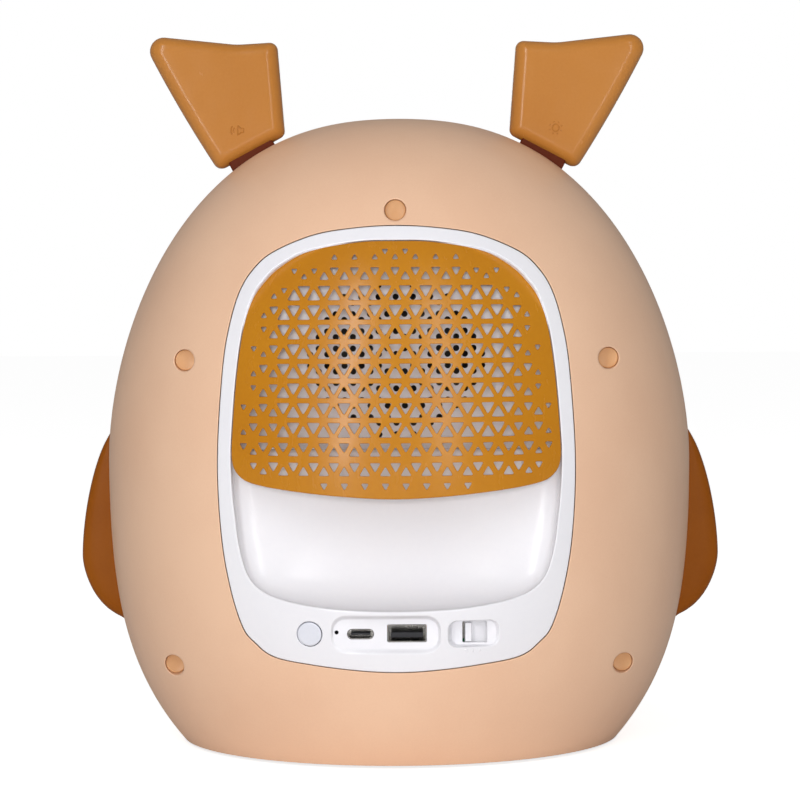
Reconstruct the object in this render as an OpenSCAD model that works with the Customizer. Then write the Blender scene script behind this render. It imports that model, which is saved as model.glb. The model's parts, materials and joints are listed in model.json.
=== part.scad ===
// Owl-shaped kids bluetooth speaker and night light, seen from the back in the photograph.
// Millimetres. Z is up, the face looks along -Y, the grille and sockets look along +Y.
// The origin is on the floor under the middle of the body.

/* [Body] */
// Diameter of the round body at its widest ring
body_d = 217; // [206:1:228]
// Height of the dome's top above the floor
body_h = 231.3; // [226:0.1:238]
// Height of the widest ring above the floor
equator_h = 105.6; // [102:0.1:110]
// How soon the dome draws in above its widest ring, 2 being round
flank_power = 1.8; // [1.7:0.05:2.1]
// How broad the dome's crown is, 2 being round
crown_power = 2.4; // [2.2:0.05:2.5]
// How far the lower side draws in
side_taper = 10.1; // [8:0.1:12]
// How far the foot curve draws in at the floor
foot_taper = 18.1; // [15:0.1:20]
// Wall of the two shells
shell_wall = 2.6; // [2.2:0.1:3]
// Air between the shells' lower edge and the floor
floor_gap = 1; // [0.8:0.1:1.5]

/* [Rear panel] */
// Width of the white frame on either side of the grille
frame_w = 5.2; // [4.6:0.1:6]
// Height of the panel's top edge
panel_top = 189.6; // [187:0.2:191]
// Height of the panel's bottom edge
panel_bottom = 36.4; // [34:0.2:38]
// Thickness of the panel's skin
panel_t = 2.2; // [1.8:0.1:2.6]
// Seam between the panel and the shell round it
seam = 0.25; // [0.15:0.05:0.4]
// Width of the shell's ledge behind the panel's rim
ledge_w = 2; // [1.2:0.1:2.2]
// Thickness of the wall that carries the driver
baffle_t = 3; // [2.6:0.1:3.6]
// Diameter of the round sound holes
sound_hole_d = 1.8; // [1.2:0.1:1.9]
// Spacing of the sound holes along a row
sound_hole_pitch = 6; // [5.4:0.1:7]

/* [Grille] */
// Width of the caramel grille
grille_w = 113.2; // [111:0.2:114]
// Height of the grille's top edge
grille_top = 184.3; // [182:0.1:185]
// Height of the grille's bottom edge
grille_bottom = 96.2; // [94:0.1:98]
// Thickness of the grille
grille_t = 1.6; // [1.2:0.1:2]
// Width of one cell of the triangle pattern
cell_w = 7; // [6.4:0.1:8]
// Height of one row of the triangle pattern
cell_h = 6.67; // [6.2:0.01:7.6]
// Side of the large triangles
hole_large = 4.4; // [3.8:0.1:4.7]
// Side of the middle-sized triangles round them
hole_middle = 3.1; // [2.6:0.1:3.6]
// Side of the small triangles near the grille's edge
hole_small = 2.1; // [1.6:0.1:2.4]

/* [Hand recess] */
// Width of the finger recess under the grille
recess_w = 112.4; // [108:0.2:113]
// Height of the recess's lower lip
recess_lip = 57.7; // [57.2:0.1:60]
// Height of the step where the recess meets the driver wall
recess_top = 112; // [108:0.5:113]
// How far the recess stands in front of the driver wall
recess_step = 5; // [3:0.2:7]
// Wall of the recess
recess_wall = 2; // [1.6:0.1:2.4]

/* [Controls] */
// Height of the row of sockets and buttons
control_z = 49.6; // [49:0.1:50.2]
// Diameter of the power button
button_d = 8.3; // [7.4:0.1:9]
// How far right of the middle the power button sits
button_x = 30; // [29:0.1:31]
// Press of the power button
button_travel = 0.6; // [0.4:0.05:0.8]
// Gap round the power button
button_gap = 0.28; // [0.25:0.01:0.35]
// Diameter of the reset pinhole
pinhole_d = 1.4; // [1:0.1:1.8]
// Width of the shallow pocket round the sockets
port_pocket_w = 37.8; // [36:0.2:39]
// Height of the shallow pocket round the sockets
port_pocket_h = 13.8; // [13:0.2:14]
// Width of the pocket round the mode switch
switch_pocket_w = 18; // [17:0.2:18.6]
// Height of the pocket round the mode switch
switch_pocket_h = 9.6; // [9:0.1:10.5]
// Travel of the mode switch from its first to its third mark
mode_travel = 5; // [3.6:0.2:5.2]
// Width of the mode knob's rib
mode_rib_w = 2.1; // [1.8:0.1:2.4]

/* [Ears] */
// Distance of each ear's foot from the middle
ear_x = 54.6; // [53:0.1:57]
// Outward lean of the ears in degrees
ear_lean = 27.9; // [25:0.1:30]
// Height of the ear's foot above the dome under it
ear_gap = 1.9; // [1.8:0.1:3]
// Thickness of an ear
ear_t = 12; // [10:0.5:13]
// How far the pale front half shows past the rear half
ear_rim = 0.5; // [0.2:0.1:0.8]
// Width of the ear's neck
neck_w = 18.4; // [16:0.2:18.6]
// Thickness of the ear's neck
neck_t = 8; // [6:0.5:8.4]
// Depth of the ear's pivot below its foot
pivot_drop = 13.5; // [13.3:0.1:14]
// Tilt of an ear to either side in degrees
ear_tilt = 6; // [4:0.5:7]
// Diameter of the ear's steel pivot pin
ear_pin_d = 3; // [2.5:0.1:3.2]
// Radial clearance of the ear lever on its pin
pin_fit = 0.05; // [0.02:0.01:0.1]

/* [Wings] */
// Height of the fattest part of a wing
wing_mid = 68; // [66:0.5:72]
// Rise of the wing above its fattest part
wing_rise = 50.5; // [46:0.5:52]
// Drop of the wing below its fattest part
wing_drop = 23; // [22:0.5:26]
// How far a wing stands out past the widest ring
wing_out = 11.7; // [10:0.1:13]
// Gap between a wing and the shell
wing_gap = 0.05; // [0:0.01:0.1]

/* [Face] */
// Width of the light-up face
face_w = 124; // [116:1:128]
// Height of the light-up face
face_h = 92; // [84:1:96]
// Height of the middle of the face
face_z = 138; // [134:0.5:142]
// Distance of each eye from the middle
eye_x = 28; // [26:0.5:32]
// Outer diameter of the eye rings
eye_d = 36; // [32:0.5:40]
// Inner diameter of the eye rings
eye_lens_d = 26; // [22:0.5:28]
// Height of the middle of the eyes
eye_z = 147; // [142:0.5:150]
// Height of the middle of the beak
beak_z = 120; // [117:0.5:121]
// How far the beak stands out of the face
beak_out = 3.4; // [2:0.2:4]

/* [Driver] */
// Height of the driver's middle
driver_z = 141; // [140:0.5:142]
// Radius of the driver's flange
driver_r = 35; // [34:0.5:36]
// Radius of the ferrite magnet
magnet_r = 22; // [19:0.5:24]
// Thickness of the ferrite magnet
magnet_t = 8; // [6:0.5:10]
// Diameter of the driver's four screws
driver_screw_d = 2.2; // [2:0.1:2.4]

/* [Power and boards] */
// Diameter of a battery cell
cell_d = 18.4; // [17:0.2:18.6]
// Length of a battery cell
cell_len = 65; // [60:1:66]
// Thickness of the circuit boards
board_t = 1.6; // [1.2:0.1:2]
// Height of the main board's standoffs
standoff_h = 8; // [6:0.5:10]
// Diameter of the wiring leads
lead_d = 2.4; // [2:0.1:2.6]

/* [Fasteners] */
// Diameter of the recessed wells behind the body
well_d = 7.6; // [7:0.1:8.2]
// Outer diameter of the screw posts
post_d = 11; // [10.6:0.2:12]
// Shank diameter of the case screws
case_screw_d = 3; // [2.6:0.1:3.2]
// Depth of the plugs' faces below the lowest point of their wells' rims
plug_depth = 1.2; // [0.6:0.1:2]
// Radial clearance round a screw shank
screw_fit = 0.03; // [0.02:0.01:0.05]
// Diameter of the four rubber feet
foot_d = 14; // [10:1:16]
// Height of the base plate's underside above the floor
foot_h = 1.8; // [1.6:0.1:2.4]
// Thickness of the base plate
base_t = 2.4; // [2:0.1:3]

/* [Hidden] */
$fn = 96;

// Shape of the body
body_r0 = body_d / 2;
dome_h = body_h - equator_h;
DOME_STEPS = 14;
SKIRT_STEPS = 10;
function drop(t) = side_taper * pow(t, 2) + foot_taper * pow(t, 4);
function dome_r(z, inset) = (body_r0 - inset)
    * pow(max(0, 1 - pow((z - equator_h) / (dome_h - inset), flank_power)), 1 / crown_power);
function skirt_r(z, inset) = body_r0 - inset - drop((equator_h - z) / equator_h);
function body_r(z, inset = 0) = z > equator_h ? dome_r(z, inset) : skirt_r(z, inset);
function dome_z(r) = equator_h + dome_h * pow(1 - pow(r / body_r0, crown_power), 1 / flank_power);
function surface_y(x, z, inset = 0) = sqrt(max(0, pow(body_r(z, inset), 2) - x * x));
function skirt_pts(inset) = [for (i = [SKIRT_STEPS:-1:1])
    let (z = equator_h - (equator_h - floor_gap) * i / SKIRT_STEPS) [skirt_r(z, inset), z]];
function dome_pts(inset) = [for (i = [0:DOME_STEPS]) let (a = 90 * i / DOME_STEPS)
    [(body_r0 - inset) * pow(cos(a), 2 / crown_power),
     equator_h + (dome_h - inset) * pow(sin(a), 2 / flank_power)]];
function body_pts(inset) = concat(skirt_pts(inset), dome_pts(inset));
function reversed(p) = [for (i = [len(p) - 1:-1:0]) p[i]];

panel_w = grille_w + 2 * frame_w;
// Outlines as shares of half a width and half a height, from the top middle down the right side
PANEL_FORM = [[0, 1], [0.23, 0.99], [0.46, 0.96], [0.68, 0.889], [0.79, 0.819], [0.877, 0.712],
    [0.937, 0.546], [0.973, 0.343], [1, -0.063], [0.98, -0.4], [0.93, -0.64], [0.864, -0.809],
    [0.798, -0.876], [0.684, -0.94], [0.45, -0.972], [0.2, -0.993], [0, -1]];
GRILLE_FORM = [[0, 1], [0.24, 0.99], [0.546, 0.92], [0.724, 0.803], [0.816, 0.685], [0.875, 0.567],
    [0.931, 0.331], [0.97, -0.02], [0.998, -0.49], [1, -0.72], [0.954, -0.834], [0.86, -0.893],
    [0.64, -0.94], [0.33, -0.98], [0, -1]];
RECESS_FORM = [[1, 1], [1, 0.78], [0.993, 0.632], [0.968, 0.41], [0.916, 0.223], [0.826, 0.12],
    [0.675, 0.06], [0.444, 0.02], [0.2, 0.003], [0, 0]];
GRILLE_WIDEST = 8;

function spline(a, b, c, d, t) = 0.5 * (2 * b + (c - a) * t + (2 * a - 5 * b + 4 * c - d) * t * t
    + (3 * b - a - 3 * c + d) * t * t * t);
function mirrored(half) = concat(half,
    [for (i = [len(half) - 2:-1:1]) [-half[i][0], half[i][1]]]);
function smooth_loop(p, n) = let (m = len(p)) [for (i = [0:m - 1]) for (k = [0:n - 1])
    spline(p[(i + m - 1) % m], p[i], p[(i + 1) % m], p[(i + 2) % m], k / n)];
function smooth_path(p, n) = let (m = len(p) - 1) [for (i = [0:m - 1]) for (k = [0:n - 1])
    spline(p[max(i - 1, 0)], p[i], p[i + 1], p[min(i + 2, m)], k / n)];
function placed(form, half_w, mid, half_h) = [for (p = form) [p[0] * half_w, mid + p[1] * half_h]];
function panel_outline(grow) = smooth_loop(mirrored(placed(PANEL_FORM, panel_w / 2 + grow,
    (panel_top + panel_bottom) / 2, (panel_top - panel_bottom) / 2 + grow)), 2);
grille_mid = (grille_top + grille_bottom) / 2;
grille_half_h = (grille_top - grille_bottom) / 2;
function grille_outline(grow) = smooth_loop(mirrored(placed(GRILLE_FORM, grille_w / 2 + grow,
    grille_mid, grille_half_h + grow)), 2);
function recess_half(grow) = placed(RECESS_FORM, recess_w / 2 + grow, recess_lip - grow,
    recess_top - recess_lip + grow);
function recess_outline(grow) = let (right = smooth_path(recess_half(grow), 2))
    concat(right, [[0, recess_lip - grow]], [for (p = reversed(right)) [-p[0], p[1]]]);

// A polygon whose corners are rounded, each by its own radius
function unit(v) = v / norm(v);
function corner(a, b, c, r, n) = let (
    u1 = unit(a - b), u2 = unit(c - b), half = acos(u1 * u2) / 2,
    centre = b + unit(u1 + u2) * r / sin(half),
    s = b + u1 * r / tan(half) - centre, e = b + u2 * r / tan(half) - centre,
    a0 = atan2(s[1], s[0]), turn = atan2(e[1], e[0]) - a0,
    sweep = turn > 180 ? turn - 360 : turn < -180 ? turn + 360 : turn)
    [for (k = [0:n]) centre + r * [cos(a0 + sweep * k / n), sin(a0 + sweep * k / n)]];
function round_poly(p, r, n = 5) = let (m = len(p)) [for (i = [0:m - 1])
    each corner(p[(i + m - 1) % m], p[i], p[(i + 1) % m], r[i], n)];

// Gap between a piece and the curved seat that it rests on
seat_gap = 0.05;

// Depths behind the rear surface
baffle_y = floor(min([for (p = grille_outline(seam)) surface_y(p[0], p[1], grille_t)]) - 0.5);
baffle_back_y = baffle_y - baffle_t;
recess_y = baffle_y + recess_step;
lip_y = surface_y(0, recess_lip);
OUT_Y = body_d;
port_pocket_x = 3.8;
port_y = surface_y(port_pocket_x + port_pocket_w / 2, control_z) - 1.2;
port_floor_t = 1.8;
switch_pocket_x = -26.3;
switch_y = surface_y(switch_pocket_x - switch_pocket_w / 2, control_z) - 1.2;
switch_floor_t = 2.4;
pinhole_x = 20.7;

// Sockets, in their standard sizes
usb_a = [13.2, 14, 5.8];
usb_c = [8.94, 7.3, 3.26];
usb_a_x = -3.4;
usb_c_x = 12.5;
usb_wall = 0.3;
usb_a_z = control_z + 0.2;
usb_a_back = 1.2;
usb_c_back = 0.8;
usb_c_round = 1.6;
hole_ease = 0.15;
socket_board_top = usb_a_z - usb_a[2] / 2;
socket_board_z = socket_board_top - board_t;
rail_x = 32;
rail_w = 6;
rail_h = 3;
board_back_y = port_y - 29.5;
board_front_y = port_y - 9;
rail_screw_y = board_back_y + 8;
reset_y = port_y - 8;

// Screw posts, as distances along X and Z
POSTS = [[0, 195.2], [74.5, 143.1], [-74.5, 143.1], [79.9, 34.3], [-79.9, 34.3]];
well_floor_y = 14;
plug_t = 5;
boss_depth = 14;

// The ears, in a frame at the foot of the ear
ear_z = dome_z(ear_x) + ear_gap;
EAR_FORM = [[-14.2, -0.2], [14.1, -0.2], [16.4, 59], [-14.4, 38.2], [-28.1, 31.9]];
EAR_ROUND = [3, 3.4, 5.2, 30, 3];
barrel_d = ear_pin_d + 5;
barrel_w = 14;
cheek_u = 10.4;
cheek_t = 2.2;
slot_ease_u = 0.8;
slot_ease_w = 1.6;
bracket_w = 7.6;
bracket_t = 2;
bracket_low = pivot_drop + 10.5;
bracket_top = pivot_drop - 3.7;
switch_v = pivot_drop + 6.5;
ear_post_u = 9.5;
ear_post_v = pivot_drop + 8.2;
ear_post_d = 5.6;
ear_screw_d = 2;

// Driver, measured from the front of its flange towards the magnet
seat_ring_t = 3;
gasket_t = 0.8;
driver_y = baffle_back_y - seat_ring_t - gasket_t;
driver_screw_r = driver_r - 3.2;
cone_r = 24.6;
coil_r = 7.9;
pole_r = 6.6;
yoke_r = 17;
plate_z = 18.4;
plate_t = 3;

base_r = skirt_r(floor_gap, shell_wall) - 1;
base_top = foot_h + base_t;
flange_t = 2;
base_screw_r = base_r - 4;
tray_wall = 1.6;
tray_mid_y = 20;
cell_gap = 1;
board_z = base_top + standoff_h;
board_mid_y = -32;
board_w = 76;
board_l = 48;
light_y = 69;
light_r = 44;
light_post_d = 6;
light_post_x = face_w / 2 + 5.8;
light_arm = 2 * light_post_x + 3.6;
wing_screw_y = 22;

// Basic forms
module body_volume(inset) rotate_extrude() polygon(concat([[0, floor_gap]], body_pts(inset)));
module rear_band(outer, inner) rotate_extrude(angle = 180)
    polygon(concat(body_pts(outer), reversed(body_pts(inner))));
module front_band(outer, inner) rotate(180) rear_band(outer, inner);
// A flat outline in X and Z, made thick from y0 to y1
module plate(y0, y1) translate([0, y1, 0]) rotate([90, 0, 0]) linear_extrude(y1 - y0) children();
module rod_y(x, z, y0, y1, d) translate([x, y0, z]) rotate([-90, 0, 0]) cylinder(d = d, h = y1 - y0);
module box(low, high) translate(low) cube(high - low);
module round_rect(w, h, r) polygon(round_poly(
    [[-w / 2, -h / 2], [w / 2, -h / 2], [w / 2, h / 2], [-w / 2, h / 2]], [r, r, r, r], 4));
module on_side(side) mirror([side < 0 ? 1 : 0, 0, 0]) children();
module ear_frame(side) on_side(side) translate([ear_x, 0, ear_z]) rotate([0, ear_lean, 0]) children();
module driver_frame() translate([0, driver_y, driver_z]) rotate([-90, 0, 0]) children();
module ring_xy(r1, r2, z0, z1) translate([0, 0, z0]) difference() {
    cylinder(r = r2, h = z1 - z0);
    translate([0, 0, -1]) cylinder(r = r1, h = z1 - z0 + 2);
}

// The two shells
module neck_slots() for (side = [-1, 1]) ear_frame(side)
    box([-neck_w / 2 - slot_ease_u, -neck_t / 2 - slot_ease_w, -bracket_top],
        [neck_w / 2 + slot_ease_u, neck_t / 2 + slot_ease_w, 2]);
module base_flange() difference() {
    intersection() {
        translate([0, 0, base_top]) cylinder(r = body_r0, h = flange_t);
        body_volume(shell_wall / 2);
    }
    translate([0, 0, base_top - 1]) cylinder(r = base_screw_r - 5, h = flange_t + 2);
    base_screw_holes(base_top - 1, flange_t + 2, 0);
}
module base_screw_holes(z, h, ease) for (a = [45:90:315]) rotate(a)
    translate([base_screw_r, 0, z]) cylinder(d = case_screw_d + 2 * (screw_fit + ease), h = h);
module half_space(side) translate([-body_d, side > 0 ? 0 : -2 * body_d, -1])
    cube([2 * body_d, 2 * body_d, body_h + 2]);

module rear_shell() color("#E3BE9C") difference() {
    union() {
        rear_band(0, shell_wall);
        intersection() {
            union() {
                for (p = POSTS) rod_y(p[0], p[1], 0, OUT_Y, post_d);
                for (side = [-1, 1]) ear_frame(side) for (u = [-1, 1])
                    rod_y(u * ear_post_u, -ear_post_v, bracket_w, OUT_Y, ear_post_d);
            }
            body_volume(shell_wall / 2);
        }
        intersection() {
            rear_band(shell_wall / 2, panel_t + 2);
            plate(20, OUT_Y) polygon(panel_outline(4));
        }
        intersection() {
            base_flange();
            half_space(1);
        }
    }
    intersection() {
        rear_band(-1, panel_t + seat_gap);
        plate(20, OUT_Y) polygon(panel_outline(seam));
    }
    plate(20, OUT_Y) polygon(panel_outline(-ledge_w));
    for (p = POSTS) {
        rod_y(p[0], p[1], well_floor_y, OUT_Y, well_d);
        rod_y(p[0], p[1], -1, well_floor_y + 1, case_screw_d + 2 * screw_fit);
    }
    for (side = [-1, 1]) ear_frame(side) for (u = [-1, 1])
        rod_y(u * ear_post_u, -ear_post_v, bracket_w - 1, bracket_w + 8, ear_screw_d + 2 * screw_fit);
    neck_slots();
}

module front_shell() color("#E3BE9C") difference() {
    union() {
        front_band(0, shell_wall);
        intersection() {
            union() {
                for (p = POSTS) rod_y(p[0], p[1], -OUT_Y, 0, post_d - 2);
                for (side = [-1, 1]) rod_y(side * light_post_x, face_z, -OUT_Y, -light_y, light_post_d);
            }
            body_volume(shell_wall / 2);
        }
        intersection() {
            base_flange();
            half_space(-1);
        }
    }
    plate(-OUT_Y, -20) polygon(face_outline(seam));
    for (p = POSTS) rod_y(p[0], p[1], -boss_depth, 1, case_screw_d + 2 * screw_fit);
    for (side = [-1, 1]) rod_y(side * light_post_x, face_z, -light_y - 6, -light_y + 1,
        ear_screw_d + 2 * screw_fit);
    for (side = [-1, 1]) on_side(side) wing_bores(case_screw_d + 2 * screw_fit);
    neck_slots();
}

// Underside
module at_board_holes(z) for (x = [-1, 1]) for (y = [-1, 1])
    translate([x * (board_w / 2 - 4), board_mid_y + y * (board_l / 2 - 4), z]) children();
module base_plate() color("#D8B594") difference() {
    union() {
        translate([0, 0, foot_h]) cylinder(r = base_r, h = base_t);
        at_board_holes(foot_h) cylinder(d = 6, h = base_t + standoff_h);
    }
    base_screw_holes(foot_h - 1, base_t + 2, 0.2);
    at_board_holes(base_top) cylinder(d = ear_screw_d + 2 * screw_fit, h = standoff_h + 1);
}
module base_screws() color("silver") for (a = [45:90:315]) rotate(a) translate([base_screw_r, 0, 0]) {
    translate([0, 0, foot_h - 1.4]) cylinder(d = 5.4, h = 1.4);
    translate([0, 0, foot_h - 0.5]) cylinder(d = case_screw_d, h = base_t + flange_t + 0.4);
}
module rubber_feet() color("#5A4030") for (a = [0:90:270]) rotate(a)
    translate([base_screw_r - foot_d / 2, 0, 0]) cylinder(d = foot_d, h = foot_h);

// Fasteners behind the body
module case_screws() color("silver") for (p = POSTS) {
    rod_y(p[0], p[1], well_floor_y, well_floor_y + 2.4, 5.8);
    rod_y(p[0], p[1], 1 - boss_depth, well_floor_y + 0.5, case_screw_d);
}
function rim_low_y(p) = min([for (a = [0:30:330])
    surface_y(p[0] + well_d / 2 * cos(a), p[1] + well_d / 2 * sin(a))]);
module screw_plugs() color("#C08A55") for (p = POSTS) let (face = rim_low_y(p) - plug_depth)
    rod_y(p[0], p[1], face - plug_t, face, well_d - 0.1);

// Rear panel with the driver wall, the finger recess and the control strip
function scoop_y(z) = let (u = min(1, (recess_top - z) / (recess_top - recess_lip)))
    lip_y - (lip_y - recess_y) * pow(1 - pow(u, 2.6), 1 / 2.6);
SCOOP_STEPS = 12;
scoop_pts = [for (i = [0:SCOOP_STEPS]) let (a = 90 * i / SCOOP_STEPS, u = pow(sin(a), 2 / 2.6))
    let (z = recess_top - (recess_top - recess_lip) * u) [scoop_y(z), z]];
module along_x(half) translate([-half, 0, 0]) rotate([90, 0, 90]) linear_extrude(2 * half) children();
module scoop_cut() intersection() {
    along_x(recess_w) polygon(concat(scoop_pts, [[OUT_Y, recess_lip], [OUT_Y, recess_top]]));
    plate(20, OUT_Y) polygon(recess_outline(0));
}
module scoop_body() intersection() {
    along_x(recess_w) polygon(concat(
        [for (p = scoop_pts) [p[0] - recess_wall, p[1] - recess_wall]],
        [[OUT_Y, recess_lip - recess_wall], [OUT_Y, recess_top], [recess_y - recess_wall, recess_top]]));
    plate(20, OUT_Y) polygon(recess_outline(recess_wall));
    body_volume(panel_t / 2);
}
module driver_wall() intersection() {
    plate(baffle_back_y, OUT_Y) polygon(grille_outline(seam + recess_wall));
    box([-OUT_Y, 0, recess_top - recess_wall], [OUT_Y, OUT_Y, body_h]);
    body_volume(panel_t / 2);
}
module driver_seat() translate([0, baffle_back_y - seat_ring_t, driver_z]) rotate([-90, 0, 0])
    ring_xy(driver_r - 5, driver_r + 1, 0, seat_ring_t + 0.5);
ROW_SHORT = 2;
ROW_LONG = 4;
field_rx = 30.5;
field_rz = 27.5;
field_rise = 1.3;
module sound_holes() for (row = [-5:4]) for (half = [0, 1]) for (col = [-6:6])
    let (z = (row + 0.5) * (ROW_SHORT + ROW_LONG) + (half - 0.5) * ROW_SHORT,
        x = (col + (row + half) % 2 / 2) * sound_hole_pitch)
    if (pow(x / field_rx, 2) + pow(z / field_rz, 2) < 1)
        rod_y(x, driver_z + field_rise + z, baffle_back_y - 1, baffle_y + 1, sound_hole_d, $fn = 24);
module control_backing() intersection() {
    union() {
        box([port_pocket_x - port_pocket_w / 2 - 2, port_y - port_floor_t, control_z - 8],
            [port_pocket_x + port_pocket_w / 2 + 2, OUT_Y, control_z + 8]);
        box([switch_pocket_x - switch_pocket_w / 2 - 1.6, switch_y - switch_floor_t, control_z - 8],
            [switch_pocket_x + switch_pocket_w / 2, OUT_Y, control_z + 7]);
        rod_y(button_x, control_z, surface_y(button_x, control_z) - 8, OUT_Y, button_d + 5);
        for (side = [-1, 1]) box([side * rail_x - rail_w / 2, board_back_y, socket_board_z - rail_h],
            [side * rail_x + rail_w / 2, OUT_Y, socket_board_z]);
    }
    body_volume(panel_t / 2);
}
module control_cuts() {
    translate([port_pocket_x, 0, control_z]) plate(port_y, OUT_Y)
        round_rect(port_pocket_w, port_pocket_h, 5);
    translate([switch_pocket_x, 0, control_z]) plate(switch_y, OUT_Y)
        round_rect(switch_pocket_w, switch_pocket_h, 3.2);
    translate([usb_a_x, 0, usb_a_z]) plate(board_back_y, OUT_Y)
        square([usb_a[0] + 2 * hole_ease, usb_a[2] + 2 * hole_ease], center = true);
    translate([usb_c_x, 0, control_z]) plate(board_back_y, OUT_Y)
        round_rect(usb_c[0] + 2 * hole_ease, usb_c[2] + 2 * hole_ease, usb_c[2] / 2);
    box([mode_x - mode_travel - 1.4, board_back_y, control_z - 3.4], [mode_x + 2.1, OUT_Y, control_z + 3.8]);
    rod_y(pinhole_x, control_z + 0.6, board_back_y, OUT_Y, pinhole_d);
    rod_y(button_x, control_z, board_back_y, OUT_Y, button_d + 2 * button_gap);
    rod_y(button_x, control_z, board_back_y, surface_y(button_x, control_z) - 3, button_d + 2.8);
    for (side = [-1, 1]) translate([side * rail_x, rail_screw_y, socket_board_z - 5])
        cylinder(d = ear_screw_d + 2 * screw_fit, h = 6);
}
module rear_panel() color("#F4F4F6") difference() {
    union() {
        intersection() {
            rear_band(0, panel_t);
            plate(20, OUT_Y) polygon(panel_outline(0));
        }
        driver_wall();
        driver_seat();
        scoop_body();
        control_backing();
        intersection() {
            box([-recess_w / 2 - 1, baffle_back_y, recess_top - recess_wall],
                [recess_w / 2 + 1, recess_y, recess_top]);
            body_volume(panel_t / 2);
        }
    }
    difference() {
        plate(baffle_y, OUT_Y) polygon(grille_outline(seam));
        box([-OUT_Y, 0, 0], [OUT_Y, OUT_Y, recess_top]);
        difference() {
            intersection() {
                rear_band(grille_t + 0.1, grille_t + 1.7);
                box([-OUT_Y, 0, recess_top + 4], [OUT_Y, OUT_Y, body_h]);
            }
            plate(20, OUT_Y) polygon(grille_outline(-1.6));
        }
    }
    plate(surface_y(grille_w / 2 + 1, recess_top, grille_t + 0.2), OUT_Y)
        polygon([for (p = grille_outline(seam)) [p[0], min(p[1], recess_top + 0.1)]]);
    scoop_cut();
    sound_holes();
    control_cuts();
    driver_screw_holes(baffle_back_y - seat_ring_t - 1, baffle_back_y + 1);
}
module driver_screw_holes(y0, y1) translate([0, 0, driver_z]) for (a = [45:90:315])
    rod_y(driver_screw_r * cos(a), driver_screw_r * sin(a), y0, y1, driver_screw_d + 2 * screw_fit);

// Caramel grille
grille_side = [for (p = GRILLE_FORM) [p[1], p[0]]];
grille_upper = [for (i = [0:GRILLE_WIDEST]) GRILLE_FORM[i]];
grille_lower = [for (i = [len(GRILLE_FORM) - 1:-1:GRILLE_WIDEST + 1]) GRILLE_FORM[i]];
function room_beside(x, z) = grille_w / 2 * lookup((z - grille_mid) / grille_half_h, grille_side) - abs(x);
function room_above(x, z) = grille_mid
    + grille_half_h * lookup(abs(x) / grille_w * 2, grille_upper) - z;
function room_below(x, z) = z - grille_mid
    - grille_half_h * lookup(abs(x) / grille_w * 2, grille_lower);
// For each row of cells, the last column of large, of middle-sized and of small triangles
HOLE_ROWS = [[-1, -1, 6], [-1, 7, 10], [10, 10, 12], [11, 12, 13], [11, 12, 13], [11, 12, 14],
    [11, 13, 14], [11, 13, 14], [11, 14, 15], [11, 14, 15], [-1, 13, 15], [-1, 12, 14], [-1, -1, 7]];
// The rows from this one down have no large triangles and slightly larger others
LOW_ROW = 10;
low_extra = 0.4;
function hole_side(row, col) = let (last = HOLE_ROWS[min(row, len(HOLE_ROWS) - 1)], c = abs(col))
    c <= last[0] ? hole_large : (row < LOW_ROW ? 0 : low_extra)
    + (c <= last[1] ? hole_middle : c <= last[2] ? hole_small : -10);
rows_top = grille_top - 1.25;
grille_rows = floor((grille_top - grille_bottom) / cell_h);
grille_cols = ceil(grille_w / cell_w);
module triangle_holes() for (row = [0:grille_rows - 1]) for (col = [-grille_cols:grille_cols])
    let (x = col * cell_w / 2, up = (row + col + 1001) % 2,
        z = rows_top - cell_h * (row + (up > 0 ? 2 / 3 : 1 / 3)), s = hole_side(row, col))
    if (s > 0 && room_beside(x, z) > 2.8 && room_above(x, z) > 3.2 && room_below(x, z) > 3)
        translate([x, 0, z]) plate(60, OUT_Y) rotate(up > 0 ? 90 : -90)
            circle(r = s / sqrt(3), $fn = 3);
module rear_grille() color("#C8861E") difference() {
    intersection() {
        rear_band(0, grille_t);
        plate(20, OUT_Y) polygon(grille_outline(0));
    }
    triangle_holes();
}

// Power button, switches and sockets
button_back_y = surface_y(button_x, control_z) - 3.2;
module power_button() color("#E4E5EA") union() {
    intersection() {
        rod_y(button_x, control_z, button_back_y - 0.2, OUT_Y, button_d);
        body_volume(-0.3);
    }
    rod_y(button_x, control_z, button_back_y - 1.4, button_back_y, button_d + 2);
    rod_y(button_x, control_z, button_back_y - 3, button_back_y - 1, 3);
}
module power_switch() color("#303236") union() {
    box([button_x - 3, button_back_y - 3.1 - button_travel - 5, socket_board_top],
        [button_x + 3, button_back_y - 3.1 - button_travel - 1, control_z + 2.6]);
    rod_y(button_x, control_z, button_back_y - 5 - button_travel, button_back_y - 3.1 - button_travel, 2.6);
}
module reset_switch() color("#303236") union() {
    box([pinhole_x - 2, reset_y - 2.5, socket_board_top], [pinhole_x + 2, reset_y + 0.5, control_z + 2.2]);
    rod_y(pinhole_x, control_z + 0.6, reset_y, reset_y + 1.5, 1.6);
}
mode_x = -24.5;
knob_y = switch_y - switch_floor_t - 0.3;
module mode_knob() color("white") union() {
    box([mode_x - mode_rib_w / 2, knob_y - 0.5, control_z - 3],
        [mode_x + mode_rib_w / 2, switch_y + 0.6, control_z + 3.4]);
    box([mode_x - 6.6, knob_y - 1.5, control_z - 3.9], [mode_x + 1.3, knob_y, control_z + 4.8]);
}
module mode_slider() color("#303236") box([mode_x - 1, knob_y - 5.2, control_z - 0.9],
    [mode_x + 1, knob_y - 1.5, control_z + 1.3]);
module mode_switch() color("#8A8D92") difference() {
    box([mode_x - mode_travel - 3, knob_y - 7.2, socket_board_top],
        [mode_x + 3, knob_y - 3.2, control_z + 3]);
    box([mode_x - mode_travel - 1.4, knob_y - 5.6, control_z - 1.3],
        [mode_x + 1.4, knob_y, control_z + 1.7]);
}
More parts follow.
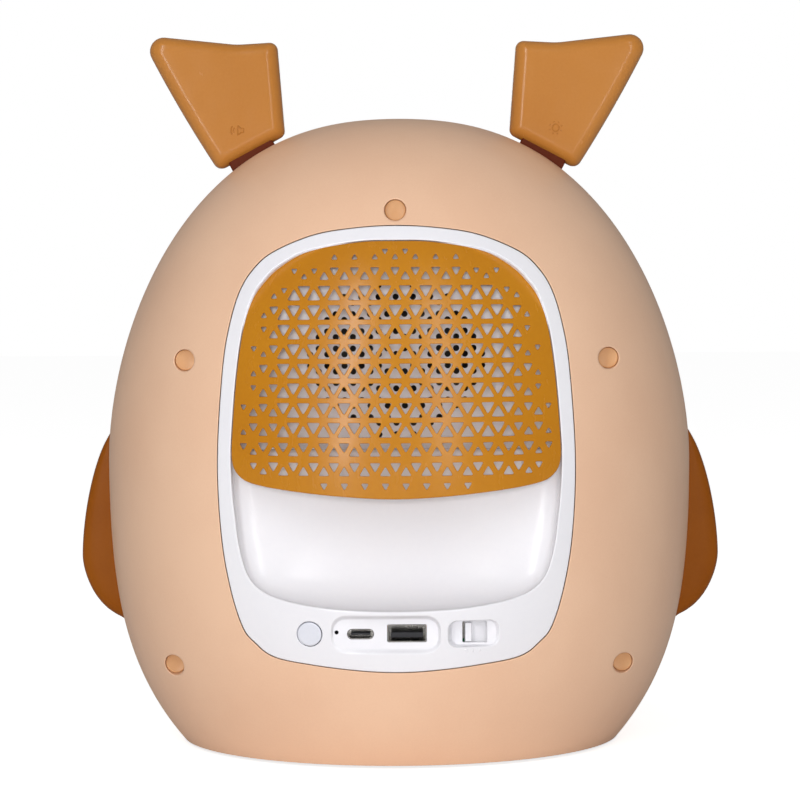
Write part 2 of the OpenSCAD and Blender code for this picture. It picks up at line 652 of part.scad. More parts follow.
module usb_a_shell() color("silver") translate([usb_a_x, 0, usb_a_z]) difference() {
    plate(port_y - usb_a[1], port_y) square([usb_a[0], usb_a[2]], center = true);
    plate(port_y - usb_a[1] + usb_a_back, port_y + 1)
        square([usb_a[0] - 2 * usb_wall, usb_a[2] - 2 * usb_wall], center = true);
}
module usb_a_tongue() color("#E8E8E8") translate([usb_a_x, port_y - usb_a[1] + usb_a_back, usb_a_z - 1.6])
    box([-5.5, 0, 0], [5.5, 11.4, 1.8]);
module usb_c_shell() color("silver") translate([usb_c_x, 0, control_z]) union() {
    difference() {
        plate(port_y - usb_c[1], port_y) round_rect(usb_c[0], usb_c[2], usb_c_round);
        plate(port_y - usb_c[1] + usb_c_back, port_y + 1)
            round_rect(usb_c[0] - 2 * usb_wall, usb_c[2] - 2 * usb_wall, usb_c_round - usb_wall);
    }
    for (x = [-3.4, 2.4]) box([x, port_y - usb_c[1] + 0.5, socket_board_top - control_z],
        [x + 1, port_y - usb_c[1] + 2.5, 0.2 - usb_c[2] / 2]);
}
module usb_c_tongue() color("#303236") translate([usb_c_x, port_y - usb_c[1] + usb_c_back, control_z])
    box([-3.35, 0, -0.35], [3.35, 5.6, 0.35]);
module socket_board() color("#2E6B4A") difference() {
    union() {
        box([-36, board_back_y, socket_board_z], [36, board_front_y, socket_board_top]);
        box([switch_pocket_x + switch_pocket_w / 2 + 0.4, board_front_y - 0.5, socket_board_z],
            [23, port_y - port_floor_t - 0.3, socket_board_top]);
    }
    for (side = [-1, 1]) translate([side * rail_x, rail_screw_y, socket_board_z - 1])
        cylinder(d = ear_screw_d + 0.4, h = board_t + 2);
}
module socket_board_screws() color("silver") for (side = [-1, 1])
    translate([side * rail_x, rail_screw_y, 0]) {
        translate([0, 0, socket_board_top]) cylinder(d = 4, h = 1.4);
        translate([0, 0, socket_board_z - rail_h + 0.2]) cylinder(d = ear_screw_d, h = board_t + rail_h);
    }

// Ears
function ear_outline(grow) = round_poly([for (i = [0:4]) EAR_FORM[i]
    + grow * [i == 1 || i == 2 ? 1 : i == 3 ? 0 : -1, i < 2 ? -1 : 1]], EAR_ROUND);
module ear_rear(side) color("#C08040") ear_frame(side) union() {
    plate(0, ear_t / 2 - 1.2) polygon(ear_outline(0));
    plate(ear_t / 2 - 1.3, ear_t / 2) polygon(ear_outline(-1));
}
module ear_front(side) color("#F3EBDD") ear_frame(side) union() {
    plate(1.2 - ear_t / 2, 0) polygon(ear_outline(ear_rim));
    plate(-ear_t / 2, 1.3 - ear_t / 2) polygon(ear_outline(-0.6));
}
module ear_lever(side) color("#5A1E08") ear_frame(side) difference() {
    union() {
        box([-neck_w / 2, -neck_t / 2, -3.2 - ear_rim], [neck_w / 2, neck_t / 2, -0.2 - ear_rim]);
        box([-barrel_w / 2, -neck_t / 2 + 1, -pivot_drop], [barrel_w / 2, neck_t / 2 - 1, -3 - ear_rim]);
        translate([-barrel_w / 2, 0, -pivot_drop]) rotate([0, 90, 0]) cylinder(d = barrel_d, h = barrel_w);
        box([-4, -1.2, -pivot_drop - 7.5], [4, 1.2, -pivot_drop]);
    }
    translate([-barrel_w, 0, -pivot_drop]) rotate([0, 90, 0])
        cylinder(d = ear_pin_d + 2 * pin_fit, h = 2 * barrel_w);
}
module ear_pin(side) color("silver") ear_frame(side) translate([-cheek_u - cheek_t, 0, -pivot_drop])
    rotate([0, 90, 0]) cylinder(d = ear_pin_d, h = 2 * (cheek_u + cheek_t));
module ear_spring(side) color("silver") ear_frame(side) translate([barrel_w / 2 + 0.3, 0, -pivot_drop])
    rotate([0, 90, 0]) difference() {
        cylinder(d = ear_pin_d + 2.4, h = cheek_u - barrel_w / 2 - 0.4);
        translate([0, 0, -1]) cylinder(d = ear_pin_d, h = cheek_u);
    }
module ear_bracket(side) color("#3A3A3C") ear_frame(side) difference() {
    union() {
        box([-cheek_u - cheek_t, bracket_w - bracket_t, -bracket_low],
            [cheek_u + cheek_t, bracket_w, -bracket_top - 0.6]);
        for (u = [-1, 1]) translate([u * (cheek_u + cheek_t / 2) - cheek_t / 2, 0, 0])
            box([0, -bracket_w, -bracket_low], [cheek_t, bracket_w, -bracket_top]);
        box([-cheek_u - 1, -bracket_w, -bracket_low],
            [cheek_u + 1, bracket_t - bracket_w, -pivot_drop - 4]);
        box([-cheek_u - 1, -bracket_w, -bracket_low], [cheek_u + 1, bracket_w, 2 - bracket_low]);
    }
    translate([-cheek_u - cheek_t - 1, 0, -pivot_drop]) rotate([0, 90, 0])
        cylinder(d = ear_pin_d, h = 2 * (cheek_u + cheek_t) + 2);
    for (u = [-1, 1]) rod_y(u * ear_post_u, -ear_post_v, -20, 20, ear_screw_d + 2 * screw_fit);
}
switch_reach = 2.2;
module ear_switches(side) color("#303236") ear_frame(side) for (back = [0, 1])
    mirror([0, back, 0]) union() {
        box([-2.9, 3.1, -switch_v - 1.9], [2.9, bracket_w - bracket_t, -switch_v + 2.4]);
        rod_y(0, -switch_v, switch_reach, 3.5, 2.4);
    }
module ear_bracket_screws() color("silver") for (side = [-1, 1]) ear_frame(side) for (u = [-1, 1]) {
    rod_y(u * ear_post_u, -ear_post_v, -bracket_w - 1.4, -bracket_w, 3.6);
    rod_y(u * ear_post_u, -ear_post_v, -bracket_w - 0.5, bracket_w + 6, ear_screw_d);
}

// Wings
wing_r0 = body_r0 - 4.5;
wing_p = wing_out + 4.5;
WING_STEPS = 20;
WING_POWER = 1.7;
wing_edge = [for (i = [0:WING_STEPS]) let (a = 180 * i / WING_STEPS - 90,
    s = pow(abs(sin(a)), 2 / WING_POWER), c = pow(max(0, cos(a)), 2 / WING_POWER))
    [wing_r0 + wing_p * c, wing_mid + (a > 0 ? wing_rise : -wing_drop) * s]];
WING_SIDE = [[-2, 121], [-2, 38], [-64, 42]];
WING_ROUND = [3.5, 14, 25];
WING_SCREWS = [-8, 16];
module wing(side) color("#A96526") on_side(side) difference() {
    intersection() {
        rotate_extrude() polygon(concat([[wing_r0 - 30, wing_mid - wing_drop]], wing_edge,
            [[wing_r0 - 30, wing_mid + wing_rise]]));
        along_x(body_d) polygon([for (p = round_poly(WING_SIDE, WING_ROUND)) [p[0], p[1] - 68 + wing_mid]]);
        box([0, -body_d, 0], [body_d, 0, body_h]);
    }
    body_volume(-wing_gap);
    wing_bores(case_screw_d + 2 * screw_fit);
}
module wing_bores(d) for (dz = WING_SCREWS) translate([wing_r0 - 20, -wing_screw_y, wing_mid + dz])
    rotate([0, 90, 0]) cylinder(d = d, h = 29);
module wing_screws() color("silver") for (side = [-1, 1]) on_side(side) for (dz = WING_SCREWS)
    let (z = wing_mid + dz, x = surface_y(wing_screw_y + 3, z, shell_wall) - 0.3)
        translate([0, -wing_screw_y, z]) rotate([0, 90, 0]) {
            translate([0, 0, x - 2]) cylinder(d = 5.6, h = 2);
            translate([0, 0, x - 1]) cylinder(d = case_screw_d, h = wing_r0 + 8.5 - x + 1);
        }

// Light-up face, whose far side the photograph does not show
FACE_STEPS = 48;
function face_outline(grow) = [for (i = [0:FACE_STEPS - 1]) let (a = 360 * i / FACE_STEPS)
    [sign(cos(a)) * (face_w / 2 + grow) * pow(abs(cos(a)), 2 / 2.6),
     face_z + sign(sin(a)) * (face_h / 2 + grow) * pow(abs(sin(a)), 2 / 2.6)]];
module face_plate() color("#FBF4E6") union() {
    intersection() {
        front_band(0, shell_wall + 1.6);
        plate(-OUT_Y, -20) polygon(face_outline(0));
    }
    intersection() {
        front_band(shell_wall + 2 * seat_gap, shell_wall + 1.6);
        plate(-OUT_Y, -20) polygon(face_outline(2.5));
    }
    intersection() {
        front_band(-beak_out, 0.5);
        plate(-OUT_Y, -20)
            polygon(round_poly([[0, beak_z - 9], [10, beak_z + 6], [-10, beak_z + 6]], [3, 3, 3]));
    }
}
module eye_rings() color("#C08040") for (side = [-1, 1]) intersection() {
    front_band(-1.4, -seat_gap);
    difference() {
        rod_y(side * eye_x, eye_z, -OUT_Y, -20, eye_d);
        rod_y(side * eye_x, eye_z, -OUT_Y, -20, eye_lens_d);
    }
}
module eye_lenses() color("#26150E") for (side = [-1, 1]) intersection() {
    front_band(-0.9, -seat_gap);
    rod_y(side * eye_x, eye_z, -OUT_Y, -20, eye_lens_d - 0.2);
}
module light_board() color("#F2F2EE") translate([0, 0, face_z]) difference() {
    union() {
        plate(-light_y, board_t - light_y) circle(r = light_r);
        box([-light_arm / 2, -light_y, -6], [light_arm / 2, board_t - light_y, 6]);
        for (a = [0:30:330]) rod_y(34 * cos(a), 34 * sin(a), -light_y - 1.6, -light_y + 0.5, 5);
        for (a = [0:60:300]) rod_y(16 * cos(a), 16 * sin(a), -light_y - 1.6, -light_y + 0.5, 5);
        box([-5, board_t - light_y - 0.5, -38], [5, board_t - light_y + 5, -32]);
    }
    for (side = [-1, 1]) rod_y(side * light_post_x, 0, -80, 0, ear_screw_d + 0.4);
}

// Driver, in a frame whose Z points out of the grille
module driver_gasket() color("#202020") difference() {
    driver_frame() ring_xy(driver_r - 5, driver_r, 0, gasket_t);
    driver_screw_holes(driver_y - 1, driver_y + 1);
}
module driver_basket() color("#2C2D30") difference() {
    driver_frame() difference() {
        union() {
            rotate_extrude() polygon([[driver_r, 0], [driver_r, -1.5], [29.4, -1.5], [15.4, -plate_z + 1.2],
            [15.4, -plate_z], [coil_r + 0.7, -plate_z], [coil_r + 0.7, 1 - plate_z],
            [14, 1 - plate_z], [28, -1.2], [28, 0]]);
            box([-driver_r - 6, -3, -1.5], [1 - driver_r, 3, 0]);
        }
        for (a = [0:90:270]) rotate(a) box([16, -7, -13.5], [32, 7, -4.5]);
    }
    driver_screw_holes(driver_y - 3, driver_y + 1);
}
module driver_surround() color("#1C1C1E") driver_frame() rotate_extrude() union() {
    translate([28, 0]) square([driver_r - 5.2 - 28, 0.7]);
    intersection() {
        translate([26.4, 0]) difference() {
            circle(r = 1.9);
            circle(r = 1.2);
        }
        translate([20, 0]) square([20, 4]);
    }
    translate([cone_r - 1.4, 0]) square([1.5, 0.6]);
}
module driver_cone() color("#3A3A3A") driver_frame() rotate_extrude()
    polygon([[coil_r, -9.6], [coil_r + 0.8, -9.6], [cone_r - 1.2, -0.9], [cone_r, -0.8], [cone_r, -0.05],
        [cone_r - 1.6, -0.05], [coil_r, -8.4]]);
module dust_cap() color("#2A2A2A") driver_frame() rotate_extrude()
    polygon(concat([for (i = [0:8]) let (a = i * 6.25) [12.6 * sin(a), 12.6 * cos(a) - 14.4]],
        [for (i = [8:-1:0]) let (a = i * 6.25) [11.9 * sin(a), 11.9 * cos(a) - 14.4]]));
module voice_coil() color("#B87333") driver_frame() ring_xy(coil_r - 0.8, coil_r - 0.02, -25, -8.8);
module driver_spider() color("#C9A227") driver_frame() ring_xy(coil_r + 0.1, 18.9, -11.4, -10.8);
module driver_top_plate() color("silver") driver_frame()
    ring_xy(coil_r + 0.5, yoke_r, -plate_z - plate_t, -plate_z);
module driver_magnet() color("#3C3C40") driver_frame()
    ring_xy(11, magnet_r, -plate_z - plate_t - magnet_t, -plate_z - plate_t);
module driver_yoke() color("silver") driver_frame() union() {
    translate([0, 0, -plate_z - 2 * plate_t - magnet_t]) cylinder(r = yoke_r, h = plate_t);
    translate([0, 0, -plate_z - plate_t - magnet_t - 1]) cylinder(r = pole_r, h = plate_t + magnet_t + 0.8);
}
module driver_screws() color("silver") driver_frame() for (a = [45:90:315]) rotate(a)
    translate([driver_screw_r, 0, 0]) {
        translate([0, 0, -3.1]) cylinder(d = 4.4, h = 1.6);
        translate([0, 0, -2]) cylinder(d = driver_screw_d, h = 5.2);
    }

// Battery, boards and wiring
tray_w = cell_len + 4;
tray_l = 2 * cell_d + cell_gap + 1;
module battery_tray() color("#2F3033") translate([0, tray_mid_y, base_top]) difference() {
    box([-tray_w / 2 - tray_wall, -tray_l / 2 - tray_wall, 0],
        [tray_w / 2 + tray_wall, tray_l / 2 + tray_wall, cell_d * 0.8]);
    box([-tray_w / 2, -tray_l / 2, tray_wall], [tray_w / 2, tray_l / 2, cell_d]);
}
module battery_cells() color("#3E7CB1") for (y = [-1, 1])
    translate([-cell_len / 2, tray_mid_y + y * (cell_d + cell_gap) / 2, base_top + tray_wall + cell_d / 2])
        rotate([0, 90, 0]) cylinder(d = cell_d, h = cell_len);
module main_board() color("#2E6B4A") difference() {
    box([-board_w / 2, board_mid_y - board_l / 2, board_z],
        [board_w / 2, board_mid_y + board_l / 2, board_z + board_t]);
    at_board_holes(board_z - 1) cylinder(d = ear_screw_d + 0.4, h = board_t + 2);
}
module board_parts() color("#202226") translate([0, board_mid_y, board_z + board_t]) {
    box([-28, -8, 0], [-14, 8, 2.2]);
    box([-6, -10, 0], [6, 4, 1.4]);
    for (x = [14, 24]) translate([x, -10, 0]) cylinder(d = 8, h = 12);
    box([12, 2, 0], [22, 12, 4]);
    for (x = [-24, -6, 12]) box([x, 14, 0], [x + 10, 20, 6]);
}
module board_screws() color("silver") {
    at_board_holes(board_z) {
        translate([0, 0, board_t]) cylinder(d = 4, h = 1.4);
        translate([0, 0, 1 - standoff_h]) cylinder(d = ear_screw_d, h = board_t + standoff_h - 0.6);
    }
    for (side = [-1, 1]) {
        rod_y(side * light_post_x, face_z, board_t - light_y, board_t - light_y + 1.4, 4);
        rod_y(side * light_post_x, face_z, -light_y - 5, board_t - light_y + 0.4, ear_screw_d);
    }
}

// A lead swept along its own points
function ring_at(p, q, r) = let (t = unit(q), n = unit(cross(t, [0.31, 0.52, 0.79])), b = cross(t, n))
    [for (k = [0:7]) p + r * (cos(45 * k) * n + sin(45 * k) * b)];
module lead(route, n) let (
    last = len(route) - 1, path = concat(smooth_path(route, n), [route[last]]), m = len(path),
    rings = [for (i = [0:m - 1])
        each ring_at(path[i], path[min(i + 1, m - 1)] - path[max(i - 1, 0)], lead_d / 2)],
    strips = [for (i = [0:m - 2]) for (k = [0:7]) let (a = 8 * i + k, b = 8 * i + (k + 1) % 8)
        each [[a, a + 8, b + 8], [a, b + 8, b]]])
    polyhedron(rings, concat([[for (k = [0:7]) k]], strips, [[for (k = [7:-1:0]) 8 * (m - 1) + k]]));
plug_z = board_z + board_t + 6;
SPEAKER_ROUTE = [[-19, -15, plug_z], [-19, -15, plug_z + 3], [-19, -15, 27], [-50, 10, 38],
    [-60, 34, 70], [-52, 50, 110], [-39, 58, 140], [-39, 64, driver_z], [-39, 67, driver_z],
    [-39, driver_y - 1.5, driver_z]];
SOCKET_ROUTE = [[-1, -15, plug_z], [-1, -15, plug_z + 3], [-1, -15, 27], [0, 20, 40], [0, 50, 52],
    [0, 62, 46], [0, 66, 46], [0, board_back_y, 46]];
LIGHT_ROUTE = [[17, -15, plug_z], [17, -15, plug_z + 3], [17, -15, 27], [14, -30, 60], [4, -56, 84],
    [0, -65, 93], [0, -65, 96], [0, -65, face_z - 38]];
module wiring() color("#B02020") {
    lead(SPEAKER_ROUTE, 3);
    lead(SOCKET_ROUTE, 3);
    lead(LIGHT_ROUTE, 3);
}

rear_shell();
front_shell();
base_plate();
rubber_feet();
base_screws();
case_screws();
screw_plugs();
rear_panel();
rear_grille();
power_button();
power_switch();
reset_switch();
mode_knob();
mode_slider();
mode_switch();
usb_c_shell();
usb_c_tongue();
usb_a_shell();
usb_a_tongue();
socket_board();
socket_board_screws();
ear_rear(1);  // ear_rear_left
ear_front(1);  // ear_front_left
ear_lever(1);  // ear_lever_left
ear_pin(1);  // ear_pin_left
ear_spring(1);  // ear_spring_left
ear_bracket(1);  // ear_bracket_left
ear_switches(1);  // ear_switches_left
ear_rear(-1);  // ear_rear_right
ear_front(-1);  // ear_front_right
ear_lever(-1);  // ear_lever_right
ear_pin(-1);  // ear_pin_right
ear_spring(-1);  // ear_spring_right
ear_bracket(-1);  // ear_bracket_right
ear_switches(-1);  // ear_switches_right
ear_bracket_screws();
wing(1);  // wing_left
wing(-1);  // wing_right
wing_screws();
driver_basket();
driver_gasket();
driver_surround();
driver_cone();
dust_cap();
voice_coil();
driver_spider();
driver_top_plate();
driver_magnet();
driver_yoke();
driver_screws();
battery_tray();
battery_cells();
main_board();
board_parts();
board_screws();
face_plate();
eye_rings();
eye_lenses();
light_board();
wiring();
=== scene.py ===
"""Looks of the owl-shaped speaker: smooth mouldings, finishes, a white studio and the camera.

Shapes are worked out in millimetres, in the CAD frame, and become metres when a mesh is made.
"""
import json
import math

import bmesh
import bpy
import numpy as np
from mathutils import Matrix, Vector, geometry


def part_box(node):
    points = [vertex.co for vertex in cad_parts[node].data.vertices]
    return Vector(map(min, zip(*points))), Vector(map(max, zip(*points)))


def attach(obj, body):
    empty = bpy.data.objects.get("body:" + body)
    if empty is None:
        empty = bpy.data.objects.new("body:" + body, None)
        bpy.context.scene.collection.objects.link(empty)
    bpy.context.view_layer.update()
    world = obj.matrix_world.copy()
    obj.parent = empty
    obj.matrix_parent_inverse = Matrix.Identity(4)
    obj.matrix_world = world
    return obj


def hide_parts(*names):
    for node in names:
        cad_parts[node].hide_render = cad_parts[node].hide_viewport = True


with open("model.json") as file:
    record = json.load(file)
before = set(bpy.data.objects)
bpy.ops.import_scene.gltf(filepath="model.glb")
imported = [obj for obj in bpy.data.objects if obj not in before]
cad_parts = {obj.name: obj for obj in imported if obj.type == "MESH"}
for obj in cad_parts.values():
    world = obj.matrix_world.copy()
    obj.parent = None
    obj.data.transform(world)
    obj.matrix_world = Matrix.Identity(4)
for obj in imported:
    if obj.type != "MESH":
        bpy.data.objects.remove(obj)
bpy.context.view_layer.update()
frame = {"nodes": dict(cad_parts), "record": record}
MM = 0.001

# Camera
CAMERA_AT = (-0.0121, 1.1, 0.1634)
FOCAL_PIXELS = 2930.0
PICTURE_PIXELS = 800.0
PITCH = math.radians(1.93)
YAW = math.radians(0.606)
ROLL = math.radians(-0.36)


def place_camera():
    """Stands behind the object and looks along -Y, turned by YAW, lowered by PITCH, rolled by ROLL."""
    lens = bpy.data.cameras.new("camera")
    lens.sensor_width = 36.0
    lens.lens = lens.sensor_width * FOCAL_PIXELS / PICTURE_PIXELS
    camera = bpy.data.objects.new("camera", lens)
    turn = (Matrix.Rotation(math.pi + YAW, 4, "Z") @ Matrix.Rotation(math.pi / 2 - PITCH, 4, "X")
            @ Matrix.Rotation(ROLL, 4, "Z"))
    camera.matrix_world = Matrix.Translation(CAMERA_AT) @ turn
    bpy.context.collection.objects.link(camera)
    bpy.context.scene.camera = camera


place_camera()

# Sizes: the CAD source's own, and those of the finer detail that the scene adds
# Body and shells
BODY_R = 108.5
BODY_H = 231.3
EQUATOR = 105.6
DOME_H = BODY_H - EQUATOR
FLANK_POWER = 1.8
CROWN_POWER = 2.4
SIDE_TAPER = 10.1
FOOT_TAPER = 18.1
SHELL_WALL = 2.6
FLOOR_GAP = 1.0
SEAM = 0.25
FULL_WALL, THIN_WALL, WALL_EASE = 9.0, 0.35, 0.3
SKIN_STEP = 4.0

# How far each rim rolls over its edge
SPLIT_ROLL, PANEL_OPENING_ROLL, FACE_OPENING_ROLL, WELL_ROLL = 0.35, 0.45, 0.5, 0.8
PANEL_ROLL, MOUTH_ROLL, GRILLE_ROLL, HOLE_LIP, FACE_ROLL = 0.5, 0.8, 0.5, 0.25, 0.5
BUTTON_BORE_ROLL, PORT_ROLL, SLOT_ROLL = 0.3, 0.16, 0.12

# Rear panel, grille, finger recess and driver wall
PANEL_W, PANEL_TOP, PANEL_BOTTOM = 123.6, 189.6, 36.4
GRILLE_W, GRILLE_TOP, GRILLE_BOTTOM, GRILLE_T = 113.2, 184.3, 96.2, 1.6
CELL_W, CELL_H, HOLE_LARGE, HOLE_MIDDLE, HOLE_SMALL = 7.0, 6.67, 4.65, 3.4, 2.4
ROWS_DROP, LOW_ROW, LOW_EXTRA, HOLE_BEND, ARC_POINTS = 1.25, 10, 0.4, 0.35, 5
ROOM_BESIDE, ROOM_ABOVE, ROOM_BELOW = 2.8, 3.2, 3.0
RECESS_W, RECESS_LIP, RECESS_TOP, RECESS_Y = 112.4, 57.7, 112.0, 83.0
RECESS_EASE_Z, LEDGE_ROLL, BOWL_SOFT, BOWL_TIGHT, BOWL_RISE = 86.0, 1.6, 2.4, 5.0, 30.0
RECESS_MEET = RECESS_TOP - LEDGE_ROLL
DRIVER_WALL_Y, DRIVER_WALL_BEND, DRIVER_Z = 78.0, 7.0, 141.0
SOUND_HOLE_R, SOUND_PITCH, FIELD_X, FIELD_Z, FIELD_RISE = 1.1, 6.0, 30.5, 27.5, 2.0
SOUND_ROWS_APART, SOUND_PAIRS_APART = 2.0, 6.0

# Control strip: sockets as x, z, width and height, and pockets with their corners' radius too
CONTROL_Z = 49.6
BUTTON_X, BUTTON_R, BUTTON_GAP, BUTTON_RISE, BUTTON_T = 30.0, 4.15, 0.28, 0.3, 3.2
PINHOLE = (20.7, CONTROL_Z + 0.6)
USB_A = (-3.4, CONTROL_Z + 0.2, 13.2, 5.8)
USB_C = (12.5, CONTROL_Z, 8.94, 3.26)
PORT_POCKET = (3.8, CONTROL_Z, 37.8, 13.8, 5.0)
SWITCH_POCKET = (-26.3, CONTROL_Z, 18.0, 9.6, 3.2)
SLOT_X, SLOT_Z = (-30.9, -22.4), (CONTROL_Z - 3.4, CONTROL_Z + 3.8)
MODE_X, MODE_RIB_W, MARK_Z = -24.5, 2.1, 43.7
POCKET_DEPTH, SOCKET_EASE, SOCKET_WALL = 1.2, 0.3, 0.3

# Screw wells, their plugs, and feet
WELLS = np.array([[0, 195.2], [74.5, 143.1], [-74.5, 143.1], [79.9, 34.3], [-79.9, 34.3]])
WELL_R, WELL_BORE_R, WELL_FLOOR_Y, PLUG_DEPTH, PLUG_T = 3.8, 1.55, 14.0, 1.2, 5.0
FOOT_R = 7.0

# Ears, in their own frame of across and up, and their necks
EAR_X, EAR_LEAN, EAR_GAP, EAR_HALF_T, EAR_RIM = 54.6, math.radians(27.9), 1.9, 6.0, 0.1
EAR_CORNERS = np.array([[-14.2, -0.2], [14.1, -0.2], [16.4, 59.0], [-14.4, 38.2], [-28.1, 31.9]])
EAR_RADII, EAR_DENTS = np.array([3.0, 3.4, 5.2, 30.0, 3.0]), np.array([1, 1, 1, -1, 1])
EAR_BOWED_SIDE, EAR_BOW, EAR_BEND, EAR_FRONT_LOW = 1, 0.55, 5.0, 0.4
EAR_MIDDLE, EAR_SIGN_V = np.array([-4.0, 0.0, 24.0]), 9.6
NECK_W, NECK_T, SLOT_EASE_U, SLOT_EASE_W, SLOT_CORNER = 18.4, 8.0, 0.9, 2.1, 1.2
COLLAR_LOW, COLLAR_TOP, COLLAR_EASE = -3.6, 0.7, 0.1

# Wings, seen from behind by their reach and from the side by their corners, and the face
WING_MID, WING_RISE, WING_DROP, WING_OUT, WING_POWER = 68.0, 51.0, 23.6, 11.9, 1.7
WING_ROOT, WING_SEAT, WING_MIDDLE = 4.5, 0.05, np.array([-24.0, 68.0])
WING_CORNERS, WING_RADII = np.array([[-2.0, 121.0], [-2.0, 38.0], [-64.0, 42.0]]), [3.5, 14.0, 25.0]
FACE_W, FACE_H, FACE_Z, FACE_POWER = 124.0, 92.0, 138.0, 2.6
EYE_X, EYE_Z, EYE_R, LENS_R, EYE_RING_RISE = 28.0, 147.0, 18.0, 13.0, 1.35
BEAK_Z, BEAK_OUT, BEAK_SEAT = 120.0, 3.4, 0.6

# Outlines' right halves, as shares of half a width and half a height, or of the recess's whole height
PANEL_FORM = [[0, 1], [0.23, 0.99], [0.46, 0.96], [0.68, 0.889], [0.79, 0.819], [0.877, 0.712],
              [0.937, 0.546], [0.973, 0.343], [1, -0.063], [0.98, -0.4], [0.93, -0.64],
              [0.864, -0.809], [0.798, -0.876], [0.684, -0.94], [0.45, -0.972], [0.2, -0.993],
              [0, -1]]
GRILLE_FORM = [[0, 1], [0.24, 0.99], [0.546, 0.92], [0.724, 0.803], [0.816, 0.685],
               [0.875, 0.567], [0.931, 0.331], [0.97, -0.02], [0.998, -0.49], [1, -0.72],
               [0.954, -0.834], [0.86, -0.893], [0.64, -0.94], [0.33, -0.98], [0, -1]]
RECESS_FORM = [[1, 1], [1, 0.78], [0.993, 0.632], [0.968, 0.41], [0.916, 0.223], [0.826, 0.12],
               [0.675, 0.06], [0.444, 0.02], [0.2, 0.003], [0, 0]]
# The last point of the grille's upper part, and the grille's rows, as triangle_cells reads them
GRILLE_WIDEST = 8
HOLE_ROWS = np.array([[-1, -1, 6], [-1, 7, 10], [10, 10, 12], [11, 12, 13], [11, 12, 13],
                      [11, 12, 14], [11, 13, 14], [11, 13, 14], [11, 14, 15], [11, 14, 15],
                      [-1, 13, 15], [-1, 12, 14], [-1, -1, 7]])


# The body's surface
def radius(z):
    """Radius of the body at height z: a superellipse dome over a skirt that draws in to the floor."""
    z = np.asarray(z, float)
    up = np.clip((z - EQUATOR) / DOME_H, 0, 1)
    down = np.clip((EQUATOR - z) / EQUATOR, 0, None)
    dome = BODY_R * np.clip(1 - up ** FLANK_POWER, 0, None) ** (1 / CROWN_POWER)
    skirt = BODY_R - SIDE_TAPER * down ** 2 - FOOT_TAPER * down ** 4
    return np.where(z > EQUATOR, dome, skirt)


def rear_y(x, z):
    """Distance of the rear surface behind the middle plane: the root of radius squared less x squared."""
    return np.sqrt(np.clip(radius(z) ** 2 - np.asarray(x, float) ** 2, 0, None))


def body_normals(points):
    """Outward normals of the body: the gradient of the dome's superellipse, or of the skirt's profile."""
    x, y, z = points.T
    r = np.maximum(np.hypot(x, y), 1e-6)
    up = np.clip(z - EQUATOR, 0, None)
    down = np.clip((EQUATOR - z) / EQUATOR, 0, None)
    dome_r = CROWN_POWER * (r / BODY_R) ** (CROWN_POWER - 1) / BODY_R
    dome_z = FLANK_POWER * (up / DOME_H) ** (FLANK_POWER - 1) / DOME_H
    slope = (2 * SIDE_TAPER * down + 4 * FOOT_TAPER * down ** 3) / EQUATOR
    over = z > EQUATOR
    n_r = np.where(over, dome_r, 1.0)
    n_z = np.where(over, dome_z, -slope)
    n = np.stack([x / r * n_r, y / r * n_r, n_z], 1)
    return n / np.linalg.norm(n, axis=1, keepdims=True)


def polar_table():
    """Elevation and distance of the body's profile, seen from the middle of the widest ring."""
    low = np.linspace(0, EQUATOR, 240)
    high = EQUATOR + DOME_H * np.sin(np.linspace(0, math.pi / 2, 400))[1:]
    z = np.concatenate([low, high])
    r = radius(z)
    return np.arctan2(z - EQUATOR, r), np.hypot(z - EQUATOR, r)


BODY_TABLE = polar_table()


def to_map(points, side):
    """Flat map of a body half: angle from the Y axis as distance, turn about that axis as direction."""
    d = points - [0, 0, EQUATOR]
    d = d / np.linalg.norm(d, axis=1, keepdims=True)
    angle = np.arccos(np.clip(side * d[:, 1], -1, 1)) * BODY_R
    turn = np.arctan2(d[:, 2], d[:, 0])
    return np.stack([angle * np.cos(turn), angle * np.sin(turn)], 1)


def from_map(flat, side):
    """Points of the body's surface for points of the flat map."""
    angle = np.hypot(flat[:, 0], flat[:, 1]) / BODY_R
    turn = np.arctan2(flat[:, 1], flat[:, 0])
    d = np.stack([np.sin(angle) * np.cos(turn), side * np.cos(angle), np.sin(angle) * np.sin(turn)], 1)
    reach = np.interp(np.arcsin(d[:, 2]), *BODY_TABLE)
    return d * reach[:, None] + [0, 0, EQUATOR]


# Outlines
def curved(points, n, closed):
    """Catmull-Rom curve through the points, n steps a span."""
    p = np.asarray(points, float)
    m = len(p)
    if closed:
        a, b, c, d = (np.roll(p, s, 0) for s in (1, 0, -1, -2))
    else:
        k = np.arange(m - 1)
        a, b, c, d = p[np.maximum(k - 1, 0)], p[k], p[k + 1], p[np.minimum(k + 2, m - 1)]
    t = (np.arange(n) / n)[None, :, None]
    a, b, c, d = (v[:, None] for v in (a, b, c, d))
    curve = 0.5 * (2 * b + (c - a) * t + (2 * a - 5 * b + 4 * c - d) * t ** 2
                   + (3 * b - a - 3 * c + d) * t ** 3)
    curve = curve.reshape(-1, p.shape[1])
    return curve if closed else np.vstack([curve, p[-1:]])


def even_steps(line, step, closed=False):
    """The same line with points at even distances of about one step."""
    p = np.vstack([line, line[:1]]) if closed else line
    run = np.concatenate([[0], np.cumsum(np.linalg.norm(np.diff(p, axis=0), axis=1))])
    n = max(int(round(run[-1] / step)), 3)
    at = np.linspace(0, run[-1], n + 1)
    out = np.stack([np.interp(at, run, p[:, i]) for i in range(p.shape[1])], 1)
    return out[:-1] if closed else out


def mirrored(half):
    """A closed outline from its right half, which runs from the top middle to the bottom middle."""
    half = np.asarray(half, float)
    return np.vstack([half, half[-2:0:-1] * [-1, 1]])


